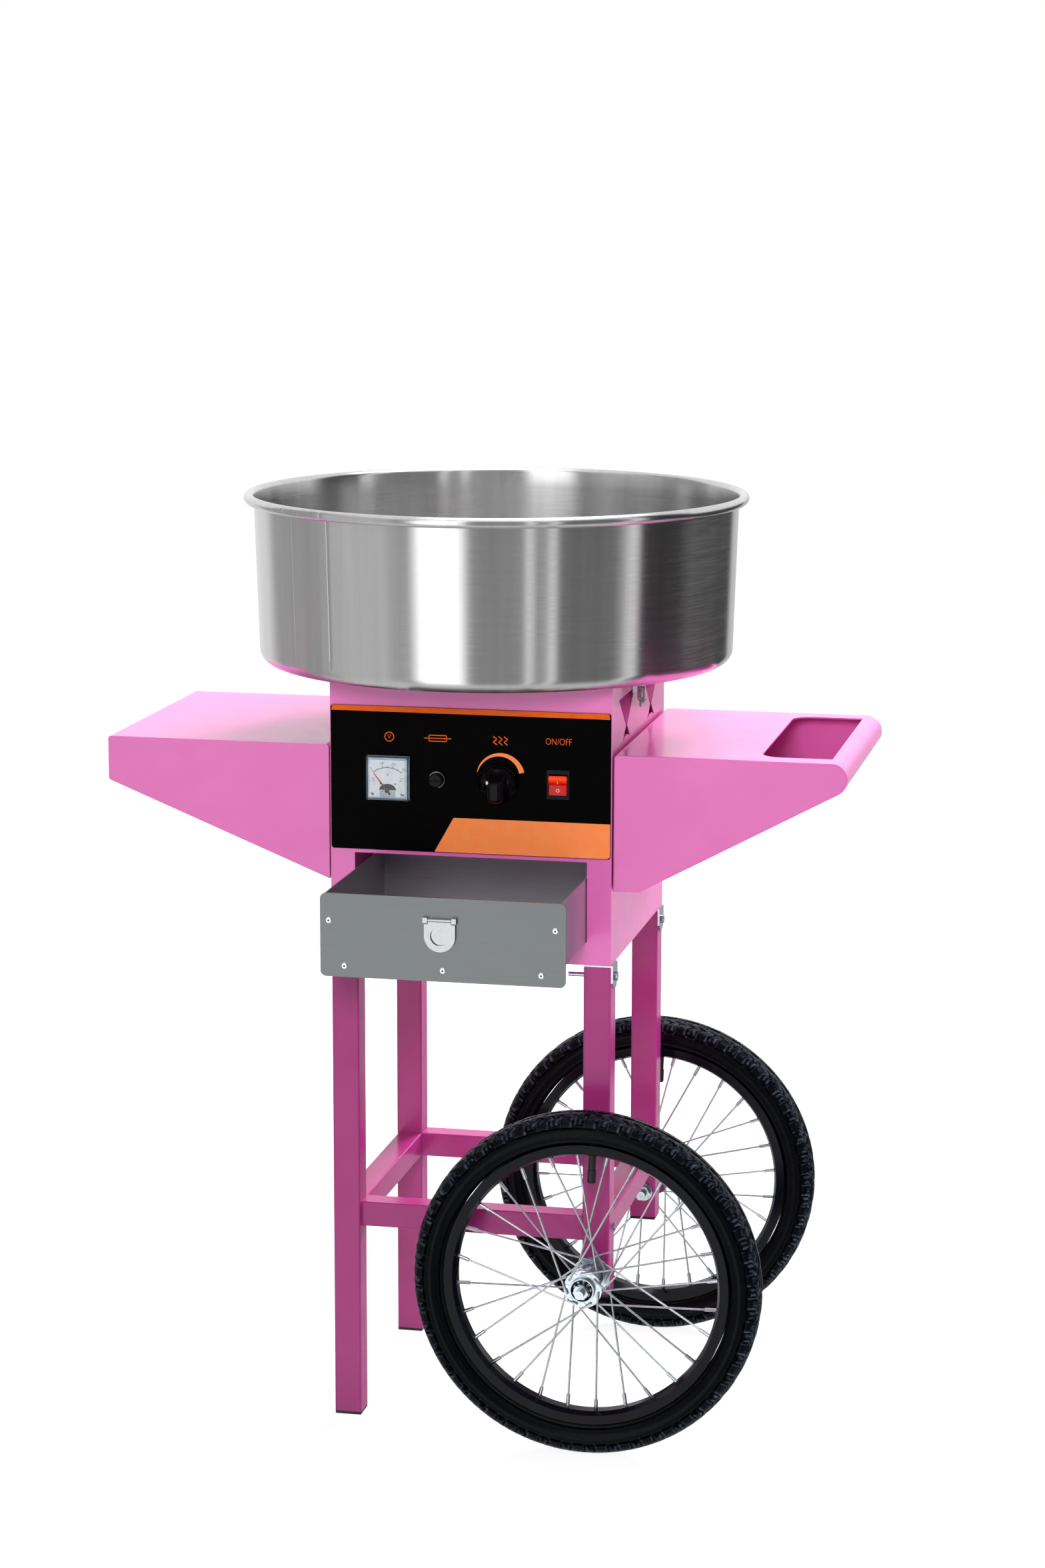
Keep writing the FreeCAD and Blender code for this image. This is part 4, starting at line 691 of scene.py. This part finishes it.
def panel_marks():
    """Plain marks over the controls: a meter sign, a fuse sign, heat waves and ON/OFF."""
    turn = np.linspace(0, TURN, 41)
    circle = np.stack([METER_LABEL_X + 4.6 * np.cos(turn), LABEL_Z + 4.6 * np.sin(turn)], -1)
    ring = stroke(circle, MARK_LINE, *PRINT_Y)
    volt = lettering("V", 4.8, (METER_LABEL_X, FACE, LABEL_Z - 0.1))
    left, right = FUSE_LABEL_X - 9, FUSE_LABEL_X + 9
    box = [(left, LABEL_Z - 3), (right, LABEL_Z - 3), (right, LABEL_Z + 3), (left, LABEL_Z + 3)]
    edges = [stroke([a, b], MARK_LINE, *PRINT_Y) for a, b in zip(box, box[1:] + box[:1])]
    wire = stroke([(FUSE_LABEL_X - 14, LABEL_Z), (FUSE_LABEL_X + 14, LABEL_Z)], MARK_LINE, *PRINT_Y)
    rise = np.linspace(-4.6, 4.6, 25)
    sway = 1.5 * np.sin(rise * 1.1)
    waves = [stroke(np.stack([HEAT_LABEL_X + beside + sway, LABEL_Z + rise], -1), 1.0, *PRINT_Y)
             for beside in (-5.5, 0, 5.5)]
    words = lettering("ON/OFF", 7.0, (SWITCH_LABEL_X, FACE, LABEL_Z + 0.8), right=(0.78, 0, 0))
    piece("panel_marks", joined(ring, volt, *edges, wire, *waves, words), DEEP_ORANGE_INK, "cart")


def rivet_mandrels():
    """The broken stem left inside each rivet of the drawer's front; its dark colour is painted shade in the
    rivet's hole.
    """
    stems = [rod(x, z, MANDREL_R, 20, RIVET_FACE_Y, RIVET_ROOT_Y) for x, z in RIVETS]
    piece("rivet_mandrels", joined(*stems), STEM_STEEL_PAINTED_SHADE, "drawer")


def panel_hardware():
    """The two screws that hold the dial, each a low dome whose slot is a black mark, painted shade for the
    recess, and the bright ferrule round the fuse cap: a ring of revolution about the cap's axis."""
    turn = np.linspace(0, TURN, 24, endpoint=False)[None, :]
    rise = np.linspace(0, math.pi / 2, 6)[:, None]
    reach = SCREW_R * np.sin(rise)
    heads, painted_slot_shades = [], []
    for x, lean in ((METER_X - SCREW_OUT, 0.7), (METER_X + SCREW_OUT, -0.5)):
        dome = drawn(x + reach * np.cos(turn), SCREW_Y - SCREW_DOME * np.cos(rise),
                     SCREW_Z + reach * np.sin(turn))
        root = drawn(np.full(turn.shape, x), SCREW_ROOT_Y, SCREW_Z)
        heads.append(grid_surface(np.concatenate([dome, root]), wrap_columns=True))
        dx, dz = SLOT_HALF * math.cos(lean), SLOT_HALF * math.sin(lean)
        # The slot is a flat black mark: painted shade in place of a recess.
        painted_slot_shades.append(stroke([(x - dx, SCREW_Z - dz), (x + dx, SCREW_Z + dz)], 0.5, *SLOT_Y))
    piece("meter_screws", joined(*heads), ZINC, "cart")
    piece("meter_screw_painted_slot_shades", joined(*painted_slot_shades), PRINT_BLACK, "cart")
    section = np.linspace(0, TURN, 12, endpoint=False)[:, None]
    r = FERRULE_R + FERRULE_WIRE * np.cos(section)
    turn = np.linspace(0, TURN, 64, endpoint=False)[None, :]
    ring = drawn(FUSE_XZ[0] + r * np.cos(turn), FERRULE_Y + FERRULE_WIRE * np.sin(section),
                 FUSE_XZ[1] + r * np.sin(turn))
    piece("fuse_ferrule", grid_surface(ring, wrap_rows=True, wrap_columns=True), NICKEL, "cart",
          sharp=60)


# The meter's dial, in drawn millimetres; radii are from the needle's pivot
DIAL_Y = FACE - 3.6
DIAL_PRINT_Y = (DIAL_Y - 0.05, DIAL_Y + 0.02)
DIAL_SWEEP = 38
SCALE_R = (23.1, 23.7)
TICK_R = (23.5, 24.9, 26.2)
NUMBER_R = 28.0
VOLT_Z = 681.4
WINDOW_HALF = 8.6
WINDOW_LOW_Z = 665.8
WINDOW_ARCH = (667.6, 4.6, 8.0)
COIL_Z = (658.7, 666.2, 1.05)
COIL_HALF = 8.2
STOPS = ((-91.6, 671.6), (-76.4, 671.6))
DASHES = ((-99.0, 677.6, 2.6), (-98.6, 675.4, 1.8), (-69.8, 677.6, 2.4), (-70.4, 675.4, 3.0))


def meter_print():
    """The dial's print: an arc scale with four numbers, a V, the dark window of the movement with
    its coil behind, two small stops and four dashes."""
    def polar(r, degrees):
        turn = np.radians(90 - np.asarray(degrees, float))
        return np.stack([METER_X + r * np.cos(turn), METER_PIVOT_Z + r * np.sin(turn)], -1)

    sweep = np.linspace(-DIAL_SWEEP, DIAL_SWEEP, 40)
    parts = [print_on(*[polar(r, sweep) for r in SCALE_R], *DIAL_PRINT_Y)]
    foot, short, long = TICK_R
    for k, degrees in enumerate(np.linspace(-DIAL_SWEEP, DIAL_SWEEP, 7)):
        reach = short if k % 2 else long
        parts.append(stroke([polar(foot, degrees), polar(reach, degrees)], 0.42, *DIAL_PRINT_Y))
    for degrees, number in zip((-38, -12.7, 12.7, 38), ("0", "100", "200", "300")):
        x, z = polar(NUMBER_R, degrees)
        turn = math.radians(-degrees)
        right = (math.cos(turn), 0, math.sin(turn))
        parts.append(lettering(number, 2.3, (x, DIAL_Y, z), right, (-math.sin(turn), 0, math.cos(turn))))
    parts.append(lettering("V", 3.6, (METER_X, DIAL_Y, VOLT_Z)))
    span = np.linspace(-WINDOW_HALF, WINDOW_HALF, 25)
    spring, rise, half = WINDOW_ARCH
    arch = spring + rise * np.sqrt(np.clip(1 - (span / half) ** 2, 0, 1))
    parts.append(print_on(np.stack([METER_X + span, np.full(25, WINDOW_LOW_Z)], -1),
                          np.stack([METER_X + span, arch], -1), *DIAL_PRINT_Y))
    for x, z in STOPS:
        parts.append(stroke([(x, z), (x + 0.5, z + 1.4)], 1.2, *DIAL_PRINT_Y))
    for x, z, reach in DASHES:
        parts.append(stroke([(x - reach / 2, z), (x + reach / 2, z)], 0.5, *DIAL_PRINT_Y))
    piece("meter_print", joined(*parts), PRINT_BLACK, "cart")
    front, back = DIAL_PRINT_Y
    coil = [stroke([(METER_X - COIL_HALF, z), (METER_X + COIL_HALF, z)], 0.55, front - 0.1, back)
            for z in np.arange(*COIL_Z)]
    piece("meter_coil_print", joined(*coil), COIL_GREY, "cart")


# The knob and the rocker, in drawn millimetres
KNOB_XZ = (30.2, 677.0)
KNOB_R = 19.8
KNOB_BACK = 0.8
KNOB_SHAFT_R = 3
KNOB_SHAFT_Y = -137.0
KNOB_DOT = (-8.0, 3.6)
DOT_R = 1.7
SWITCH_XZ = (90.8, 677.8)
ROCKER_TIP = math.radians(12.0)


def knob_height(x, z):
    """How far the knob's face stands out at a place from its middle: a drum whose edge is a quarter
    of an ellipse, two hollows in its lower flanks, and between them a broad bar with the section
    sqrt(1 - x^4) that rises from 15 mm above the middle down."""
    r = np.hypot(x, z)
    drum = 3.6 + 9.0 * np.sqrt(1 - ramp(r, 12.6, KNOB_R) ** 2)
    hollow = 1 - 0.7 * eased(ramp(np.abs(x), 8.0, 14.0)) * eased(ramp(z, 3.0, -7.0))
    end = np.sqrt(1 - ramp(r, 14.0, KNOB_R) ** 2)
    bar = 11.4 * np.sqrt(np.clip(1 - (x / 10.6) ** 4, 0, 1)) * end * eased(ramp(z, 15.0, 1.0))
    return 3.0 + (drum - 3.0) * hollow + bar


def knob():
    """The knob as a height over a disc, its shaft behind, and the white dot let into its face."""
    x0, z0 = KNOB_XZ
    base = FACE - KNOB_BACK
    radius = np.concatenate([[0], np.linspace(0.6, 18.4, 40), [18.8, 19.15, 19.4, 19.6, 19.72, KNOB_R]])
    turn = np.linspace(0, TURN, 144, endpoint=False)[None, :]
    x, z = radius[:, None] * np.cos(turn), radius[:, None] * np.sin(turn)
    rows = [drawn(x + x0, base - knob_height(x, z), z + z0),
            drawn(KNOB_R * np.cos(turn) + x0, base, KNOB_R * np.sin(turn) + z0),
            drawn(np.full(turn.shape, x0), base, z0)]
    face = grid_surface(np.concatenate(rows), wrap_columns=True)
    shaft = rod(x0, z0, KNOB_SHAFT_R, 24, base - 2, KNOB_SHAFT_Y)
    piece("knob_moulded", joined(face, shaft), BAKELITE, "knob", ("temperature_knob",),
          sharp=60)
    turn = turn[:, ::6]
    rise = np.linspace(0, math.pi / 2, 7)[:, None]
    dot_x = KNOB_DOT[0] + DOT_R * np.sin(rise) * np.cos(turn)
    dot_z = KNOB_DOT[1] + DOT_R * np.sin(rise) * np.sin(turn)
    top = drawn(x0 + dot_x, base - knob_height(dot_x, dot_z) - 0.35 * np.cos(rise), z0 + dot_z)
    back = drawn(np.full(turn.shape, x0 + KNOB_DOT[0]), base - 8.0, z0 + KNOB_DOT[1])
    piece("knob_dot", grid_surface(np.concatenate([top, back]), wrap_columns=True), DOT_WHITE, "knob")


def rocker():
    """The rocker: two hollow faces that meet at the middle, tipped by 12 degrees about its pivot,
    with rounded ends, and a bar and a ring as its ON and OFF marks."""
    x0, z0 = SWITCH_XZ
    y0 = FACE - 0.5

    def tipped(y, z):
        return (y0 + (y * math.cos(ROCKER_TIP) - z * math.sin(ROCKER_TIP)),
                z0 + (y * math.sin(ROCKER_TIP) + z * math.cos(ROCKER_TIP)))

    def mark(text, height, y, z, lean):
        at_y, at_z = tipped(y, z)
        up = (0, -math.sin(ROCKER_TIP + lean), math.cos(ROCKER_TIP + lean))
        return lettering(text, height, (x0, at_y, at_z), (1, 0, 0), up, thick=0.3)

    half = np.linspace(1, 0, 9)
    upper = np.stack([-5.5 + 1.9 * np.sin((1 - half) * math.pi / 2), 9.2 * half], -1)
    lower = np.stack([upper[::-1, 0], -upper[::-1, 1]], -1)[1:]
    ends = np.array([(-4.9, -9.55), (-1.0, -9.6), (4, -5), (4, 5), (-1.0, 9.6), (-4.9, 9.55)])
    outline = np.concatenate([upper, lower, ends])[:, :, None]
    across = np.array([-9.0, -8.75, -8.3, 8.3, 8.75, 9.0])
    shrink = np.array([0.94, 0.985, 1.0, 1.0, 0.985, 0.94])
    y, z = tipped(outline[:, 0] * shrink, outline[:, 1] * shrink)
    piece("rocker_moulded", swept(drawn(x0 + across, y, z)), RED_ACRYLIC_PAINTED_LIGHT, "rocker",
          ("switch_rocker",), sharp=40)
    marks = joined(mark("I", 3.4, -4.15, 3.4, 0.13), mark("O", 3.6, -4.45, -4.9, -0.14))
    piece("rocker_marks", marks, DOT_WHITE, "rocker")


# Levels of the studio: of the room in reflections, and of the plain light on everything dull
ROOM_LEVEL = 0.42
FILL_LEVEL = 0.3

# Between two heights of the ray, as the sine of its angle, the backdrop, floor and ceiling take
# over; the backdrop does so only within some degrees of the direction behind the cart
BACK_HALF = 62.0
BACK_SOFT = 12
BACK_RISE = (-0.02, 0.1)
BACK_LEVEL = 1.0
FLOOR_FALL = (-0.5, -0.75)
FLOOR_LEVEL = 0.7
TOP_RISE = (0.6, 0.85)
TOP_LEVEL = 1.0

# Direction in degrees (0 behind the cart, 90 to its right, 180 in front), half width, soft edge, level
BANDS = (
    (8.0, 14.0, 5.0, 0.6),
    (-30.0, 20.0, 12.0, 0.85),
    (58.0, 37.0, 8.0, 0.04),
    (-122.0, 14.0, 10.0, 0.62),
    (100.0, 2.0, 3.0, 0.95),
    (124.0, 14.0, 6.0, 0.17),
    (165.0, 14.0, 12.0, 0.3),
    (152.0, 1.2, 1.8, 1.0),
    (141.0, 1.2, 1.8, 1.0),
    (-165.0, 7.0, 9.0, 2.0),
)


def studio_world():
    """White for the camera and through glass, a plain level for diffuse light, and for reflections a
    pale room with soft boxes and dark flags, each an upright band about a direction."""
    world = bpy.data.worlds.new("studio")
    bpy.context.scene.world = world
    world.use_nodes = True
    tree = world.node_tree
    tree.nodes.clear()
    path = add(tree, "ShaderNodeLightPath")
    ray = add(tree, "ShaderNodeSeparateXYZ", {0: add(tree, "ShaderNodeTexCoord").outputs["Generated"]})
    bearing = calc(tree, "ARCTAN2", ray.outputs["X"], ray.outputs["Y"])
    degrees = calc(tree, "MULTIPLY", bearing, 180 / math.pi)
    height = ray.outputs["Z"]
    level = add(tree, "ShaderNodeValue").outputs[0]
    level.default_value = ROOM_LEVEL
    for centre, half, soft, strength in BANDS:
        away = calc(tree, "WRAP", calc(tree, "SUBTRACT", degrees, centre), -180.0, 180.0)
        band = mapped(tree, calc(tree, "ABSOLUTE", away), half + soft, half, run="SMOOTHSTEP")
        level = mixed(tree, band, level, strength)
    behind = mapped(tree, calc(tree, "ABSOLUTE", degrees), BACK_HALF + BACK_SOFT, BACK_HALF, run="SMOOTHSTEP")
    level = mixed(tree, mapped(tree, height, *BACK_RISE, high=behind, run="SMOOTHSTEP"), level, BACK_LEVEL)
    level = mixed(tree, mapped(tree, height, *FLOOR_FALL, run="SMOOTHSTEP"), level, FLOOR_LEVEL)
    level = mixed(tree, mapped(tree, height, *TOP_RISE, run="SMOOTHSTEP"), level, TOP_LEVEL)
    studio = add(tree, "ShaderNodeBackground", {"Color": level})
    plain = add(tree, "ShaderNodeBackground", {"Color": (1, 1, 1, 1), "Strength": FILL_LEVEL})
    white = add(tree, "ShaderNodeBackground", {"Color": (1, 1, 1, 1)})
    lit = add(tree, "ShaderNodeMixShader", {0: path.outputs["Is Glossy Ray"], 1: plain.outputs[0],
                                            2: studio.outputs[0]})
    seen = calc(tree, "MAXIMUM", path.outputs["Is Camera Ray"], path.outputs["Is Transmission Ray"])
    shown = add(tree, "ShaderNodeMixShader", {0: seen, 1: lit.outputs[0], 2: white.outputs[0]})
    add(tree, "ShaderNodeOutputWorld", {"Surface": shown.outputs[0]})


# The floor's glow to the camera, and the distances in metres over which it turns white
FLOOR_NEAR = 0.8
FLOOR_FAR = 2.2
FLOOR_GLOW = 0.88


def floor():
    """A pale floor, turning as white as the backdrop to the camera, that keeps the soft shadow."""
    bpy.ops.mesh.primitive_circle_add(vertices=96, radius=9.0, fill_type="NGON", location=(0, 0, 0))
    disc = bpy.context.object
    disc.name = "studio_floor"
    material = bpy.data.materials.new("white_floor_paint")
    material.use_nodes = True
    tree = material.node_tree
    tree.nodes.clear()
    path = add(tree, "ShaderNodeLightPath")
    away = add(tree, "ShaderNodeVectorMath", {0: object_place(tree)}, operation="LENGTH").outputs["Value"]
    level = mapped(tree, away, FLOOR_NEAR, FLOOR_FAR, FLOOR_GLOW, 1.0)
    glow = add(tree, "ShaderNodeEmission", {"Color": (1, 1, 1, 1), "Strength": level})
    catch = add(tree, "ShaderNodeBsdfDiffuse", {"Color": (0.24, 0.24, 0.24, 1)})
    plain = add(tree, "ShaderNodeBsdfDiffuse", {"Color": (0.7, 0.7, 0.7, 1)})
    seen = add(tree, "ShaderNodeAddShader", {0: glow.outputs[0], 1: catch.outputs[0]})
    surface = add(tree, "ShaderNodeMixShader", {0: path.outputs["Is Camera Ray"], 1: plain.outputs[0],
                                                2: seen.outputs[0]})
    add(tree, "ShaderNodeOutputMaterial", {"Surface": surface.outputs[0]})
    disc.data.materials.append(material)
    disc.visible_glossy = False


def lamp(name, place, aim, size, power, beam=180.0, mirrored=False):
    """A soft square lamp. A beam under 180 degrees is a grid on the soft box, and only a mirrored
    lamp is seen in reflections."""
    light = bpy.data.lights.new(name, "AREA")
    light.shape = "SQUARE"
    light.size = size
    light.energy = power
    light.spread = math.radians(beam)
    lamp_object = bpy.data.objects.new(name, light)
    bpy.context.scene.collection.objects.link(lamp_object)
    lamp_object.location = place
    lamp_object.rotation_euler = (Vector(aim) - Vector(place)).to_track_quat("-Z", "Y").to_euler()
    lamp_object.visible_glossy = mirrored


def camera():
    """The camera of the photograph, from its place and its yaw, pitch and roll."""
    data = bpy.data.cameras.new("camera")
    data.sensor_width = SENSOR
    data.lens = LENS
    data.clip_end = 60
    cam = bpy.data.objects.new("camera", data)
    bpy.context.scene.collection.objects.link(cam)
    yaw, pitch, roll = CAMERA_YAW, CAMERA_PITCH, CAMERA_ROLL
    ahead = Vector((-math.sin(yaw) * math.cos(pitch), math.cos(yaw) * math.cos(pitch), -math.sin(pitch)))
    level = Vector((math.cos(yaw), math.sin(yaw), 0))
    right = level * math.cos(roll) + level.cross(ahead) * math.sin(roll)
    up = right.cross(ahead)
    cam.matrix_world = Matrix.Translation(CAMERA_PLACE) @ Matrix((right, up, -ahead)).transposed().to_4x4()
    bpy.context.scene.camera = cam


finish_nodes()
tyre("front_tyre_moulded", "front_tyre", "front_wheel")
tyre("rear_tyre_moulded", "rear_tyre", "rear_wheel")
bowl()
panel_prints()
panel_marks()
rivet_mandrels()
panel_hardware()
meter_print()
knob()
rocker()
studio_world()
floor()
lamp("key", (0.5, -3.5, 2.05), (0, -0.1, 0.74), 1.0, 8.6, beam=60)
lamp("side", (2.2, 0.0, 0.2), (0.1, 0, 0.34), 0.4, 12, beam=150)
lamp("top", (0.2, 0.6, 3.2), (0, 0, 0.6), 1.6, 55, mirrored=True)
lamp("back", (0.5, 2.9, 1.8), (0, 0, 0.3), 1.4, 95, beam=100)
camera()
bpy.context.scene.view_settings.view_transform = "Standard"
